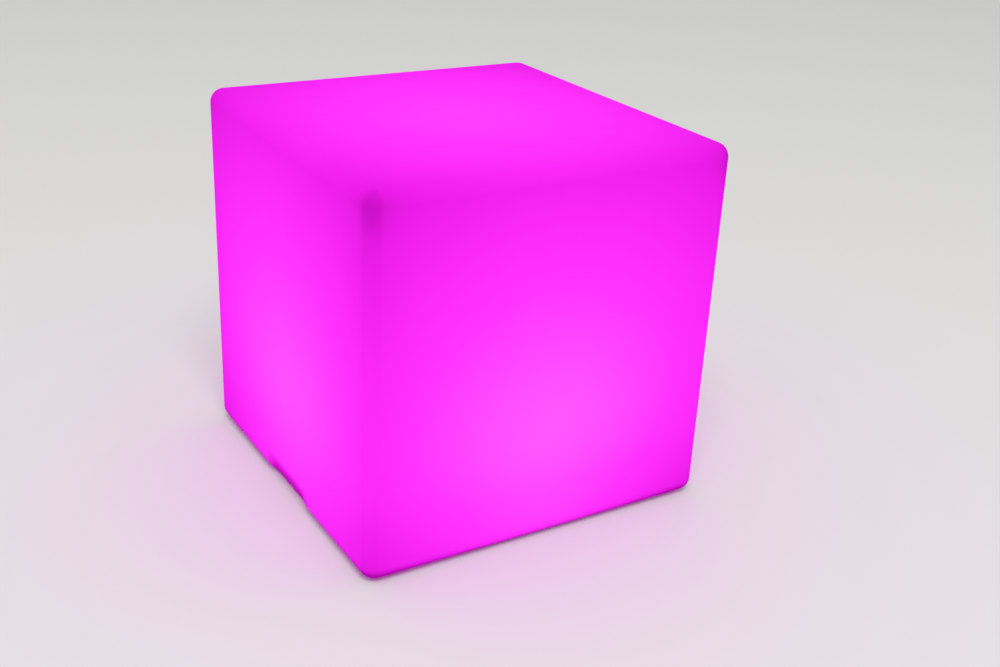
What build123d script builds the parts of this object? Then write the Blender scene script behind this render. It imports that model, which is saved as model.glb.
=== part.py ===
from build123d import *

import os
from math import cos, hypot, radians, sin, sqrt

from build123d.topology import SkipClean

# LED cube light: a hollow moulded cube that glows and is used as a seat or a low table.
#
# Millimetres, +Z up. The origin is on the floor under the middle of the cube. -Y is the front.
# The finger and cable recess is at the middle of the lower edge of the -X side.
#
# The cube stands on four rubber feet. A round pocket in its base takes the light module: a base
# plate with the push button and the charging inlet, a sealed case with the battery and the driver
# board, and on top of the case the light board under a clear dome.

# ---------------------------------------------------------------- moulded shell
CUBE_WIDTH = 400.0  # along X
CUBE_DEPTH = 400.0  # along Y
SHELL_HEIGHT = 394.5
WALL = 4.0
UPRIGHT_EDGE_RADIUS = 16.0
LEVEL_EDGE_RADIUS = 15.0
LEAST_INNER_RADIUS = 2.0

POCKET_DEPTH = 20.0
POCKET_CORNER_RADIUS = 4.0
POCKET_MOUTH_RADIUS = 3.0
POCKET_GAP = 5.0  # round the base plate
SEAT_OPENING_GAP = 1.9  # round the case's collar

SCOOP_WIDTH = 96.0  # along the side, measured on the face
SCOOP_HEIGHT = 24.0  # above the underside, measured on the face
SCOOP_INSET = 5.5  # how far the scoop reaches in at the underside
SCOOP_RADIUS = 35.0
SCOOP_LIP_RADIUS = 6.0
SCOOP_TURN = -20.0  # degrees, keeps the seam of the bar's surface off the lip
CHANNEL_WIDTH = 12.0
CHANNEL_HEIGHT = 6.0
CHANNEL_CORNER_RADIUS = 3.0

# ---------------------------------------------------------------- feet
FOOT_RADIUS = 10.0
FOOT_THICKNESS = 4.5
FOOT_PROUD = 1.5
FOOT_INSET = 50.0  # from the side faces to the middle of a foot
FOOT_EDGE = 0.8
FOOT_PLAY = 0.3

# ---------------------------------------------------------------- screwed base
BASE_SCREW_COUNT = 6
BASE_SCREW_START = 30.0  # degrees from +X to the first screw
BASE_SCREW_SETBACK = 8.0  # from the gasket's outer edge to the screws
INSERT_RADIUS = 4.0
INSERT_LENGTH = 10.0
INSERT_WAIST = 0.5
BOSS_WALL = 4.0
M4_RADIUS = 2.0
M4_HEAD_RADIUS = 3.9
M4_HEAD_HEIGHT = 2.6
M4_LENGTH = 14.0
M3_RADIUS = 1.5
M3_HEAD_RADIUS = 2.75
M3_HEAD_HEIGHT = 2.0
M3_LENGTH = 8.0
THREAD_PLAY = 0.05
HOLE_PLAY = 0.25
DRIVE_RADIUS = 1.1
DRIVE_DEPTH = 1.0

GASKET_SETBACK = 2.0  # from the seat's opening to the gasket
GASKET_WIDTH = 5.0
GASKET_THICKNESS = 1.5

PLATE_MARGIN = 9.0  # from the screws to the plate's edge
PLATE_THICKNESS = 3.0
PLATE_RIM_WIDTH = 2.0
RIB_DROP = 4.0  # how far the rim, ribs and bosses stand below the plate
RIB_WIDTH = 2.0
RIB_COUNT = 12
SCREW_BOSS_RADIUS = 7.0
PAD_RADIUS = 6.5
SCREW_SEAT = 4.0  # material between the base screws' heads and the pads' tops

# ---------------------------------------------------------------- driver case
CASE_ROOM = 3.0  # between the cradle's corners and the case's wall
CASE_WALL = 2.5
CASE_HEIGHT = 34.0
CASE_EDGE = 1.0
COLLAR_HEIGHT = 3.0
COLLAR_WIDTH = 1.8
COLLAR_PLAY = 0.3
CASE_SEAL_WIDTH = 1.3
CASE_SEAL_DEPTH = 1.2
CASE_SCREW_COUNT = 4
CASE_SCREW_INSET = 6.5  # from the case's outside to the screws
CASE_BOSS_RADIUS = 4.5
CASE_BOSS_HEIGHT = 14.0
LEAD_HOLE_RADIUS = 4.0

# ---------------------------------------------------------------- light board and dome
SPREADER_GAP = 1.0  # inside the dome's wall
SPREADER_THICKNESS = 2.0
SPREADER_NOTCHES = 12
SPREADER_NOTCH_RADIUS = 2.5
SPREADER_MARGIN = 6.0  # round the light board
LIGHT_BOARD_THICKNESS = 1.6
EMITTER_SIZE = 5.0
EMITTER_HEIGHT = 1.6
EMITTER_WINDOW_RADIUS = 2.0
EMITTER_WINDOW_DEPTH = 0.4
EMITTER_MARGIN = 10.0  # from the light board's edge to the outer ring
EMITTER_RING_GAP = 18.0
OUTER_EMITTERS = 12
INNER_EMITTERS = 6
LIGHT_SCREW_COUNT = 3
LIGHT_SCREW_START = 90.0
LIGHT_SCREW_INSET = 9.0  # inside the outer ring of emitters
ROOF_BOSS_RADIUS = 3.5
ROOF_BOSS_HEIGHT = 5.0
RECEIVER_WIDTH = 6.0
RECEIVER_DEPTH = 4.0
RECEIVER_HEIGHT = 3.0
RECEIVER_LENS_RADIUS = 1.5
RECEIVER_Y = 10.5

DOME_FLANGE_WIDTH = 7.0
DOME_HEIGHT = 22.0
DOME_WALL = 2.0
DOME_FLANGE_THICKNESS = 2.5
DOME_SCREW_COUNT = 6
DOME_SCREW_START = 30.0
DOME_SCREW_INSET = 3.6  # from the case's outside to the screws
DOME_BOSS_RADIUS = 3.5
DOME_BOSS_HEIGHT = 7.0
DOME_GASKET_THICKNESS = 1.2

# ---------------------------------------------------------------- battery
CELL_RADIUS = 9.2
CELL_LENGTH = 65.0
CELL_TIP_RADIUS = 2.8
CELL_TIP_HEIGHT = 1.0
CELL_GAP = 0.6
CRADLE_FLOOR = 2.0
CRADLE_WALL = 2.0
CRADLE_SIDE_HEIGHT = 12.0
CRADLE_PLAY = 0.2
CRADLE_OFFSET = 2.1  # from the case's middle to the cradle's side
STRAP_WIDTH = 10.0
STRAP_THICKNESS = 0.8
LUG_LENGTH = 8.0
LUG_WIDTH = 8.0
LUG_THICKNESS = 2.0
LUG_POST_RADIUS = 3.5
LUG_POST_HEIGHT = 5.0

# ---------------------------------------------------------------- driver board
BOARD_LENGTH = 62.0
BOARD_WIDTH = 38.0
BOARD_THICKNESS = 1.6
BOARD_OFFSET = 8.0  # from the case's middle to the board's edge
BOARD_POST_HEIGHT = 20.0
BOARD_POST_RADIUS = 3.0
BOARD_POST_INSET = 4.0
HEADER_LENGTH = 7.0
HEADER_WIDTH = 4.5
HEADER_HEIGHT = 5.0
COIL_RADIUS = 4.5
COIL_HEIGHT = 4.0
COIL_GROOVE = 1.0

# ---------------------------------------------------------------- push button and charging inlet
PANEL_THREAD_RADIUS = 6.0
PANEL_FLANGE_RADIUS = 9.0
PANEL_FLANGE_THICKNESS = 1.8
PANEL_FLANGE_EDGE = 0.6
PANEL_SEAL_THICKNESS = 0.8
PANEL_NUT_FLATS = 15.0
PANEL_NUT_THICKNESS = 2.5
PANEL_SPACING = 30.0  # from the button to the inlet

SWITCH_LENGTH = 17.0  # from the flange's seat to the closed end
SWITCH_END_WALL = 2.0
SWITCH_CHAMBER_RADIUS = 5.2
BUTTON_RADIUS = 4.3
BUTTON_PLAY = 0.3
BUTTON_PROUD = 2.2
BUTTON_TRAVEL = 1.5
BUTTON_DISH_RADIUS = 12.0
BUTTON_DISH_DEPTH = 0.5
BUTTON_LIP = 0.6
BUTTON_LIP_THICKNESS = 1.5
BUTTON_STEM_RADIUS = 2.0
BUTTON_STEM_LENGTH = 6.0
SPRING_WIRE_RADIUS = 0.35
SPRING_RADIUS = 3.4
SPRING_TURNS = 4
TERMINAL_WIDTH = 1.0
TERMINAL_THICKNESS = 0.5
TERMINAL_HEIGHT = 3.0
TERMINAL_OFFSET = 2.5

INLET_BORE_RADIUS = 3.2
INLET_BORE_DEPTH = 11.0
INLET_LENGTH = 15.0  # from the flange's seat to the closed end
INLET_PIN_RADIUS = 1.0
INLET_PIN_SETBACK = 4.0
PLUG_RADIUS = 7.5
PLUG_THICKNESS = 2.2
PLUG_EDGE = 0.6
PLUG_PLAY = 0.3
PLUG_STUB_LENGTH = 2.8
PLUG_STUB_RADIUS = 2.85
PLUG_STUB_TIP_RADIUS = 2.6
PLUG_TAB_LENGTH = 3.0
TETHER_REACH = 12.0  # from the inlet's axis to the tether's web
TETHER_WIDTH = 5.0
TETHER_THICKNESS = 1.4
WEB_RADIUS = 0.9
WEB_PLAY = 0.3
ANCHOR_RADIUS = 4.0
ANCHOR_THICKNESS = 2.0
ANCHOR_OFFSET = 6.0  # from the tether's web to the anchor's axis
ANCHOR_STEM_RADIUS = 1.8
ANCHOR_BARB_RADIUS = 2.5
ANCHOR_BARB_HEIGHT = 1.6

PIPE_RADIUS = 1.5
PIPE_FLANGE_RADIUS = 2.6
PIPE_FLANGE_THICKNESS = 0.8
PIPE_GAP = 0.5
PIPE_Y = -12.5

# ---------------------------------------------------------------- inner leads
LEAD_RADIUS = 1.0
LEAD_BEND = 2.2
LEAD_RUN_OUT = 5.0

# ---------------------------------------------------------------- places that follow from these
CELL_SPREAD = CELL_RADIUS + CELL_GAP / 2  # from the pack's middle to a cell's axis
CRADLE_HALF_LENGTH = CELL_LENGTH / 2 + CELL_TIP_HEIGHT + CRADLE_PLAY + CRADLE_WALL
CRADLE_HALF_WIDTH = CELL_SPREAD + CELL_RADIUS + CRADLE_PLAY + CRADLE_WALL
BATTERY_Y = CRADLE_OFFSET + CRADLE_HALF_WIDTH
LUG_X = CRADLE_HALF_LENGTH + LUG_LENGTH / 2
BOARD_Y = -BOARD_OFFSET - BOARD_WIDTH / 2
PANEL_Y = BOARD_Y
BUTTON_X = PANEL_SPACING / 2
INLET_X = -PANEL_SPACING / 2

CASE_RADIUS = hypot(CRADLE_HALF_LENGTH, BATTERY_Y + CRADLE_HALF_WIDTH) + CASE_ROOM + CASE_WALL
CASE_SCREW_CIRCLE = CASE_RADIUS - CASE_SCREW_INSET
DOME_SCREW_CIRCLE = CASE_RADIUS - DOME_SCREW_INSET
DOME_RADIUS = CASE_RADIUS - DOME_FLANGE_WIDTH
SPREADER_RADIUS = DOME_RADIUS - DOME_WALL - SPREADER_GAP
LIGHT_BOARD_RADIUS = SPREADER_RADIUS - SPREADER_MARGIN
OUTER_EMITTER_CIRCLE = LIGHT_BOARD_RADIUS - EMITTER_MARGIN
INNER_EMITTER_CIRCLE = OUTER_EMITTER_CIRCLE - EMITTER_RING_GAP
LIGHT_SCREW_CIRCLE = OUTER_EMITTER_CIRCLE - LIGHT_SCREW_INSET
SEAT_OPENING_RADIUS = CASE_RADIUS + COLLAR_PLAY + COLLAR_WIDTH + SEAT_OPENING_GAP
GASKET_INNER_RADIUS = SEAT_OPENING_RADIUS + GASKET_SETBACK
BASE_SCREW_CIRCLE = GASKET_INNER_RADIUS + GASKET_WIDTH + BASE_SCREW_SETBACK
PLATE_RADIUS = BASE_SCREW_CIRCLE + PLATE_MARGIN
POCKET_RADIUS = PLATE_RADIUS + POCKET_GAP

UNDERSIDE = FOOT_PROUD
CUBE_TOP = UNDERSIDE + SHELL_HEIGHT
SEAT_UNDER = UNDERSIDE + POCKET_DEPTH
SEAT_TOP = SEAT_UNDER + WALL
PLATE_TOP = SEAT_UNDER - GASKET_THICKNESS
PLATE_UNDER = PLATE_TOP - PLATE_THICKNESS
RIB_UNDER = PLATE_UNDER - RIB_DROP
BASE_HEAD_SEAT = SEAT_UNDER - SCREW_SEAT
CASE_TOP = PLATE_TOP + CASE_HEIGHT
CASE_ROOF = CASE_TOP - CASE_WALL
SPREADER_TOP = CASE_TOP + SPREADER_THICKNESS
LIGHT_BOARD_TOP = SPREADER_TOP + LIGHT_BOARD_THICKNESS
DOME_SEAT = CASE_TOP + DOME_GASKET_THICKNESS
DOME_FLANGE_TOP = DOME_SEAT + DOME_FLANGE_THICKNESS
BOARD_UNDER = PLATE_TOP + BOARD_POST_HEIGHT
BOARD_TOP = BOARD_UNDER + BOARD_THICKNESS
LUG_POST_TOP = PLATE_TOP + LUG_POST_HEIGHT
CELL_AXIS = PLATE_TOP + CRADLE_FLOOR + CELL_RADIUS
PANEL_SEAT = PLATE_UNDER - PANEL_SEAL_THICKNESS
PANEL_FACE = PANEL_SEAT - PANEL_FLANGE_THICKNESS
SWITCH_END = PANEL_SEAT + SWITCH_LENGTH
SWITCH_ROOF = SWITCH_END - SWITCH_END_WALL
SWITCH_LEDGE = PLATE_TOP
BUTTON_LIP_UNDER = SWITCH_LEDGE + BUTTON_PLAY
BUTTON_LIP_TOP = BUTTON_LIP_UNDER + BUTTON_LIP_THICKNESS
INLET_END = PANEL_SEAT + INLET_LENGTH
PLUG_TOP = PANEL_FACE - PLUG_PLAY
WEB_X = INLET_X - TETHER_REACH
WEB_Z = PLUG_TOP - WEB_RADIUS
ANCHOR_X = WEB_X - ANCHOR_OFFSET
PAST = 1.0  # how far a cutter runs past the face that it opens
BOTTOM = (Align.CENTER, Align.CENTER, Align.MIN)


# ================================================================ shared forms
def disc(radius, low, high, x=0.0, y=0.0):
    """An upright cylinder between two heights."""
    return Pos(x, y, low) * Cylinder(radius, high - low, align=BOTTOM)


def ring(outer, inner, low, high, x=0.0, y=0.0):
    """An upright tube between two heights."""
    return disc(outer, low, high, x, y) - disc(inner, low - PAST, high + PAST, x, y)


def block(length, width, low, high, x=0.0, y=0.0):
    """An upright box between two heights."""
    return Pos(x, y, low) * Box(length, width, high - low, align=BOTTOM)


def on_circle(count, radius, start=0.0):
    """Points spaced evenly on a circle, the first one at an angle in degrees."""
    angles = [radians(start + 360 * i / count) for i in range(count)]
    return [(radius * cos(a), radius * sin(a)) for a in angles]


def rim_edges(shape, height, radius):
    """The round edges of one radius that lie level at one height."""
    found = shape.edges().filter_by(GeomType.CIRCLE)
    level = found.filter_by_position(Axis.Z, height - 0.01, height + 0.01)
    return level.filter_by(lambda edge: abs(edge.radius - radius) < 0.01)


def united(shapes):
    """Several overlapping shapes made one."""
    shapes = list(shapes)
    return shapes[0].fuse(*shapes[1:])


def screw(x, y, seat, length, radius, head_radius, head_height, way):
    """A pan-head screw. Its shank points up with way 1 and down with way -1."""
    shank = Pos(x, y, seat) * Cylinder(radius, length, align=BOTTOM)
    head = Pos(x, y, seat - head_height) * Cylinder(head_radius, head_height, align=BOTTOM)
    head = fillet(rim_edges(head, seat - head_height, head_radius), head_height * 0.45)
    drive = Pos(x, y, seat - head_height) * Cylinder(DRIVE_RADIUS, DRIVE_DEPTH, align=BOTTOM)
    made = head.fuse(shank) - drive
    if way < 0:
        made = mirror(made, Plane.XY.offset(seat))
    return made


def m3_screw(x, y, seat, way, length=M3_LENGTH):
    """An M3 pan-head screw."""
    return screw(x, y, seat, length, M3_RADIUS, M3_HEAD_RADIUS, M3_HEAD_HEIGHT, way)


def lead(points):
    """A round lead along straight runs joined by bends."""
    path = FilletPolyline(*points, radius=LEAD_BEND)
    section = Plane(origin=points[0], z_dir=Vector(*points[1]) - Vector(*points[0]))
    return sweep(section * Circle(LEAD_RADIUS), path=path)


BASE_SCREWS = on_circle(BASE_SCREW_COUNT, BASE_SCREW_CIRCLE, BASE_SCREW_START)
CASE_SCREWS = on_circle(CASE_SCREW_COUNT, CASE_SCREW_CIRCLE)
DOME_SCREWS = on_circle(DOME_SCREW_COUNT, DOME_SCREW_CIRCLE, DOME_SCREW_START)
LIGHT_SCREWS = on_circle(LIGHT_SCREW_COUNT, LIGHT_SCREW_CIRCLE, LIGHT_SCREW_START)
FEET = [
    (side * (CUBE_WIDTH / 2 - FOOT_INSET), end * (CUBE_DEPTH / 2 - FOOT_INSET))
    for side in (-1, 1)
    for end in (-1, 1)
]
BOARD_POSTS = [
    (side * (BOARD_LENGTH / 2 - BOARD_POST_INSET), BOARD_Y + end * (BOARD_WIDTH / 2 - BOARD_POST_INSET))
    for side in (-1, 1)
    for end in (-1, 1)
]
PANEL_SPOTS = [(BUTTON_X, PANEL_Y), (INLET_X, PANEL_Y)]


# ================================================================ shell
def rounded_cube(inset):
    """The cube with all its edges rounded, drawn in by inset on every side."""
    body = block(
        CUBE_WIDTH - 2 * inset, CUBE_DEPTH - 2 * inset, UNDERSIDE + inset, CUBE_TOP - inset
    )
    upright = max(UPRIGHT_EDGE_RADIUS - inset, LEAST_INNER_RADIUS + 1)
    level = max(LEVEL_EDGE_RADIUS - inset, LEAST_INNER_RADIUS)
    body = fillet(body.edges().filter_by(Axis.Z), upright)
    faces = body.faces().sort_by(Axis.Z)
    return fillet(faces[0].edges() + faces[-1].edges(), level)


def pocket(grow):
    """The round pocket in the base. grow adds the wall, for the side of the wall that faces in."""
    radius = POCKET_RADIUS + grow
    top = SEAT_UNDER + grow
    form = disc(radius, UNDERSIDE - PAST, top)
    return fillet(rim_edges(form, top, radius), POCKET_CORNER_RADIUS + grow)


def scoop(grow):
    """The finger recess: a round bar with ball ends, sunk into the lower edge of the -X side."""
    chord = hypot(SCOOP_INSET, SCOOP_HEIGHT)
    back = sqrt(SCOOP_RADIUS**2 - chord**2 / 4)
    axis_in = SCOOP_INSET / 2 - back * SCOOP_HEIGHT / chord
    axis_up = SCOOP_HEIGHT / 2 - back * SCOOP_INSET / chord
    on_face = sqrt(SCOOP_RADIUS**2 - axis_in**2)
    half = SCOOP_WIDTH / 2 - on_face  # from the middle to the centre of a ball end
    radius = SCOOP_RADIUS + grow
    outline = [
        Line((0, half + radius), (0, -half - radius)),
        CenterArc((0, -half), radius, -90, 90),
        Line((radius, -half), (radius, half)),
        CenterArc((0, half), radius, 0, 90),
    ]
    bar = revolve(make_face(outline), Axis.Y)
    return Pos(axis_in - CUBE_WIDTH / 2, 0, UNDERSIDE + axis_up) * Rot(0, SCOOP_TURN, 0) * bar


def channel(grow):
    """The cable channel from the pocket to the scoop, flat-topped with rounded corners."""
    start = -CUBE_WIDTH / 2 - PAST
    length = -POCKET_RADIUS / 2 - start
    top = UNDERSIDE + CHANNEL_HEIGHT + grow
    middle = start + length / 2
    form = block(length, CHANNEL_WIDTH + 2 * grow, UNDERSIDE - PAST, top, x=middle)
    corners = form.edges().filter_by(Axis.X).filter_by_position(Axis.Z, top - 0.01, top + 0.01)
    return fillet(corners, CHANNEL_CORNER_RADIUS + grow)


def foot_wells(grow):
    """The four round wells that hold the feet."""
    top = UNDERSIDE + FOOT_THICKNESS - FOOT_PROUD + grow
    return [disc(FOOT_RADIUS + FOOT_PLAY + grow, UNDERSIDE - PAST, top, x, y) for x, y in FEET]


def diffuser_shell():
    """The hollow moulded cube in one skin, with its pocket, recess, foot wells and screw bosses."""
    outside = rounded_cube(0) - pocket(0)
    outside = fillet(rim_edges(outside, UNDERSIDE, POCKET_RADIUS), POCKET_MOUTH_RADIUS)
    with SkipClean():  # the lip rounds reliably on the edges just as the cut leaves them
        scooped = outside - scoop(0)
    lip = new_edges(outside, scoop(0), combined=scooped)
    outside = fillet(lip, SCOOP_LIP_RADIUS).cut(channel(0), *foot_wells(0))
    boss_top = SEAT_UNDER + INSERT_LENGTH + BOSS_WALL
    bosses = [disc(INSERT_RADIUS + BOSS_WALL, SEAT_UNDER, boss_top, x, y) for x, y in BASE_SCREWS]
    inside = rounded_cube(WALL).cut(
        pocket(WALL), scoop(WALL), channel(WALL), *foot_wells(WALL), *bosses
    )
    opening = disc(SEAT_OPENING_RADIUS, SEAT_UNDER - PAST, SEAT_TOP + PAST)
    holes = [
        disc(INSERT_RADIUS + THREAD_PLAY, SEAT_UNDER - PAST, SEAT_UNDER + INSERT_LENGTH, x, y)
        for x, y in BASE_SCREWS
    ]
    return outside.cut(inside, opening, *holes)


def threaded_inserts():
    """Brass inserts moulded into the seat, each with a waist that keys it in the plastic."""
    top = SEAT_UNDER + INSERT_LENGTH
    middle = (SEAT_UNDER + top) / 2
    made = []
    for x, y in BASE_SCREWS:
        body = ring(INSERT_RADIUS, M4_RADIUS + THREAD_PLAY, SEAT_UNDER, top, x, y)
        waist = ring(
            INSERT_RADIUS + PAST, INSERT_RADIUS - INSERT_WAIST, middle - PAST, middle + PAST, x, y
        )
        made.append(body - waist)
    return made


def rubber_feet():
    """Four rubber discs seated in the wells, rounded where they meet the floor."""
    made = []
    for x, y in FEET:
        foot = disc(FOOT_RADIUS, 0, FOOT_THICKNESS, x, y)
        made.append(fillet(rim_edges(foot, 0, FOOT_RADIUS), FOOT_EDGE))
    return made


# ================================================================ base
def base_gasket():
    """The flat silicone ring between the shell's seat and the base plate."""
    outer = GASKET_INNER_RADIUS + GASKET_WIDTH
    return ring(outer, GASKET_INNER_RADIUS, PLATE_TOP, SEAT_UNDER)


def base_plate():
    """The moulded plate that closes the pocket, with its ribs, bosses, posts and panel holes."""
    solids = [disc(PLATE_RADIUS, PLATE_UNDER, PLATE_TOP)]
    solids.append(ring(PLATE_RADIUS, PLATE_RADIUS - PLATE_RIM_WIDTH, RIB_UNDER, PLATE_TOP))
    rib_start = CASE_RADIUS
    rib_length = PLATE_RADIUS - PLATE_RIM_WIDTH / 2 - rib_start
    for i in range(RIB_COUNT):
        bar = block(rib_length, RIB_WIDTH, RIB_UNDER, PLATE_TOP, x=rib_start + rib_length / 2)
        solids.append(Rot(0, 0, 360 * i / RIB_COUNT) * bar)
    solids.append(ring(CASE_RADIUS + RIB_WIDTH / 2, CASE_RADIUS - RIB_WIDTH / 2, RIB_UNDER, PLATE_TOP))
    for x, y in BASE_SCREWS:
        solids.append(disc(SCREW_BOSS_RADIUS, RIB_UNDER, PLATE_TOP, x, y))
        solids.append(disc(PAD_RADIUS, PLATE_TOP - PAST, SEAT_UNDER, x, y))
    collar_inner = CASE_RADIUS + COLLAR_PLAY
    solids.append(
        ring(collar_inner + COLLAR_WIDTH, collar_inner, PLATE_TOP - PAST, PLATE_TOP + COLLAR_HEIGHT)
    )
    for x, y in CASE_SCREWS:
        solids.append(disc(SCREW_BOSS_RADIUS, RIB_UNDER, PLATE_TOP, x, y))
    for x, y in BOARD_POSTS:
        solids.append(disc(BOARD_POST_RADIUS, PLATE_TOP - PAST, BOARD_UNDER, x, y))
    for side in (-1, 1):
        solids.append(disc(LUG_POST_RADIUS, PLATE_TOP - PAST, LUG_POST_TOP, side * LUG_X, BATTERY_Y))
    plate = united(solids)

    cuts = []
    for x, y in BASE_SCREWS:
        cuts.append(disc(M4_RADIUS + HOLE_PLAY, RIB_UNDER - PAST, SEAT_UNDER + PAST, x, y))
        cuts.append(disc(M4_HEAD_RADIUS + HOLE_PLAY, RIB_UNDER - PAST, BASE_HEAD_SEAT, x, y))
    for x, y in CASE_SCREWS:
        cuts.append(disc(M3_RADIUS + HOLE_PLAY, RIB_UNDER - PAST, PLATE_TOP + PAST, x, y))
        cuts.append(disc(M3_HEAD_RADIUS + HOLE_PLAY, RIB_UNDER - PAST, PLATE_UNDER, x, y))
    seal_outer = CASE_RADIUS - (CASE_WALL - CASE_SEAL_WIDTH) / 2
    seal_inner = seal_outer - CASE_SEAL_WIDTH
    cuts.append(ring(seal_outer, seal_inner, PLATE_TOP - CASE_SEAL_DEPTH, PLATE_TOP + PAST))
    for x, y in PANEL_SPOTS:
        cuts.append(disc(PANEL_THREAD_RADIUS + HOLE_PLAY, PLATE_UNDER - PAST, PLATE_TOP + PAST, x, y))
    for x, y in BOARD_POSTS:
        cuts.append(screw_hole(x, y, BOARD_UNDER, BOARD_THICKNESS))
    for side in (-1, 1):
        cuts.append(screw_hole(side * LUG_X, BATTERY_Y, LUG_POST_TOP, LUG_THICKNESS))
    cuts.append(
        disc(ANCHOR_STEM_RADIUS + THREAD_PLAY, PLATE_UNDER - PAST, PLATE_TOP + PAST, ANCHOR_X, PANEL_Y)
    )
    cuts.append(disc(PIPE_RADIUS + THREAD_PLAY, PLATE_UNDER - PAST, PLATE_TOP + PAST, 0, PIPE_Y))
    return plate.cut(*cuts)


def screw_hole(x, y, top, held):
    """The hole of an M3 screw in a post, as deep as the shank that comes through what it holds."""
    return disc(M3_RADIUS + THREAD_PLAY, top + held - M3_LENGTH, top + PAST, x, y)


def base_screws():
    """Six pan-head screws up through the base plate into the inserts."""
    return [
        screw(x, y, BASE_HEAD_SEAT, M4_LENGTH, M4_RADIUS, M4_HEAD_RADIUS, M4_HEAD_HEIGHT, 1)
        for x, y in BASE_SCREWS
    ]


# ================================================================ driver case
def driver_housing():
    """The cup-shaped case over the battery and the board, open downwards, with its screw bosses."""
    cup = disc(CASE_RADIUS, PLATE_TOP, CASE_TOP)
    cup = chamfer(rim_edges(cup, CASE_TOP, CASE_RADIUS), CASE_EDGE / 2)
    cup = cup - disc(CASE_RADIUS - CASE_WALL, PLATE_TOP - PAST, CASE_ROOF)
    solids = [cup]
    reach = disc(CASE_RADIUS - CASE_EDGE, PLATE_TOP, CASE_TOP)
    for x, y in CASE_SCREWS:
        boss = disc(CASE_BOSS_RADIUS, PLATE_TOP, PLATE_TOP + CASE_BOSS_HEIGHT, x, y)
        solids.append(boss & reach)
    for x, y in DOME_SCREWS:
        boss = disc(DOME_BOSS_RADIUS, CASE_ROOF - DOME_BOSS_HEIGHT, CASE_ROOF + PAST, x, y)
        solids.append(boss & reach)
    for x, y in LIGHT_SCREWS:
        solids.append(disc(ROOF_BOSS_RADIUS, CASE_ROOF - ROOF_BOSS_HEIGHT, CASE_ROOF + PAST, x, y))
    case = united(solids)
    cuts = [disc(LEAD_HOLE_RADIUS, CASE_ROOF - PAST, CASE_TOP + PAST)]
    bite = M3_RADIUS + THREAD_PLAY
    for x, y in CASE_SCREWS:
        cuts.append(disc(bite, PLATE_TOP - PAST, PLATE_UNDER + M3_LENGTH, x, y))
    dome_tip = DOME_FLANGE_TOP - M3_LENGTH
    for x, y in DOME_SCREWS:
        cuts.append(disc(bite, dome_tip, CASE_TOP + PAST, x, y))
    light_tip = LIGHT_BOARD_TOP - M3_LENGTH
    for x, y in LIGHT_SCREWS:
        cuts.append(disc(bite, light_tip, CASE_TOP + PAST, x, y))
    return case.cut(*cuts)


def housing_gasket():
    """The seal in the plate's groove, under the case's wall."""
    outer = CASE_RADIUS - (CASE_WALL - CASE_SEAL_WIDTH) / 2
    return ring(outer, outer - CASE_SEAL_WIDTH, PLATE_TOP - CASE_SEAL_DEPTH, PLATE_TOP)


def housing_screws():
    """Four screws up through the plate into the case's bosses."""
    return [m3_screw(x, y, PLATE_UNDER, 1) for x, y in CASE_SCREWS]


# ================================================================ light board and dome
def heat_spreader():
    """The aluminium disc under the light board, with a notched rim."""
    plate = disc(SPREADER_RADIUS, CASE_TOP, SPREADER_TOP)
    cuts = [disc(LEAD_HOLE_RADIUS, CASE_TOP - PAST, SPREADER_TOP + PAST)]
    for x, y in on_circle(SPREADER_NOTCHES, SPREADER_RADIUS, start=15):
        cuts.append(disc(SPREADER_NOTCH_RADIUS, CASE_TOP - PAST, SPREADER_TOP + PAST, x, y))
    for x, y in LIGHT_SCREWS:
        cuts.append(disc(M3_RADIUS + HOLE_PLAY, CASE_TOP - PAST, SPREADER_TOP + PAST, x, y))
    return plate.cut(*cuts)


def led_board():
    """The round light board, with its lead hole and screw holes."""
    plate = disc(LIGHT_BOARD_RADIUS, SPREADER_TOP, LIGHT_BOARD_TOP)
    cuts = [disc(LEAD_HOLE_RADIUS, SPREADER_TOP - PAST, LIGHT_BOARD_TOP + PAST)]
    for x, y in LIGHT_SCREWS:
        cuts.append(disc(M3_RADIUS + HOLE_PLAY, SPREADER_TOP - PAST, LIGHT_BOARD_TOP + PAST, x, y))
    return plate.cut(*cuts)


def led_packages():
    """Square surface-mounted emitters in two rings, each with a round window in its top."""
    top = LIGHT_BOARD_TOP + EMITTER_HEIGHT
    made = []
    rings = ((OUTER_EMITTERS, OUTER_EMITTER_CIRCLE), (INNER_EMITTERS, INNER_EMITTER_CIRCLE))
    for count, radius in rings:
        for x, y in on_circle(count, radius, start=180 / count):
            body = block(EMITTER_SIZE, EMITTER_SIZE, LIGHT_BOARD_TOP, top, x, y)
            window = disc(EMITTER_WINDOW_RADIUS, top - EMITTER_WINDOW_DEPTH, top + PAST, x, y)
            made.append(body - window)
    return made


def remote_receiver():
    """The infrared receiver on the light board: a small block with a half-round lens."""
    top = LIGHT_BOARD_TOP + RECEIVER_HEIGHT
    body = block(RECEIVER_WIDTH, RECEIVER_DEPTH, LIGHT_BOARD_TOP, top, y=RECEIVER_Y)
    body = chamfer(body.edges().filter_by(Axis.Z), RECEIVER_DEPTH / 8)
    return body.fuse(Pos(0, RECEIVER_Y, top) * Sphere(RECEIVER_LENS_RADIUS))


def light_screws():
    """Three screws that hold the light board and the spreader on the case."""
    return [m3_screw(x, y, LIGHT_BOARD_TOP, -1) for x, y in LIGHT_SCREWS]


def dome_gasket():
    """The flat seal under the dome's flange, with its screw holes."""
    seal = ring(CASE_RADIUS - CASE_EDGE, DOME_RADIUS, CASE_TOP, DOME_SEAT)
    holes = [disc(M3_RADIUS + HOLE_PLAY, CASE_TOP - PAST, DOME_SEAT + PAST, x, y) for x, y in DOME_SCREWS]
    return seal.cut(*holes)


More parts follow.
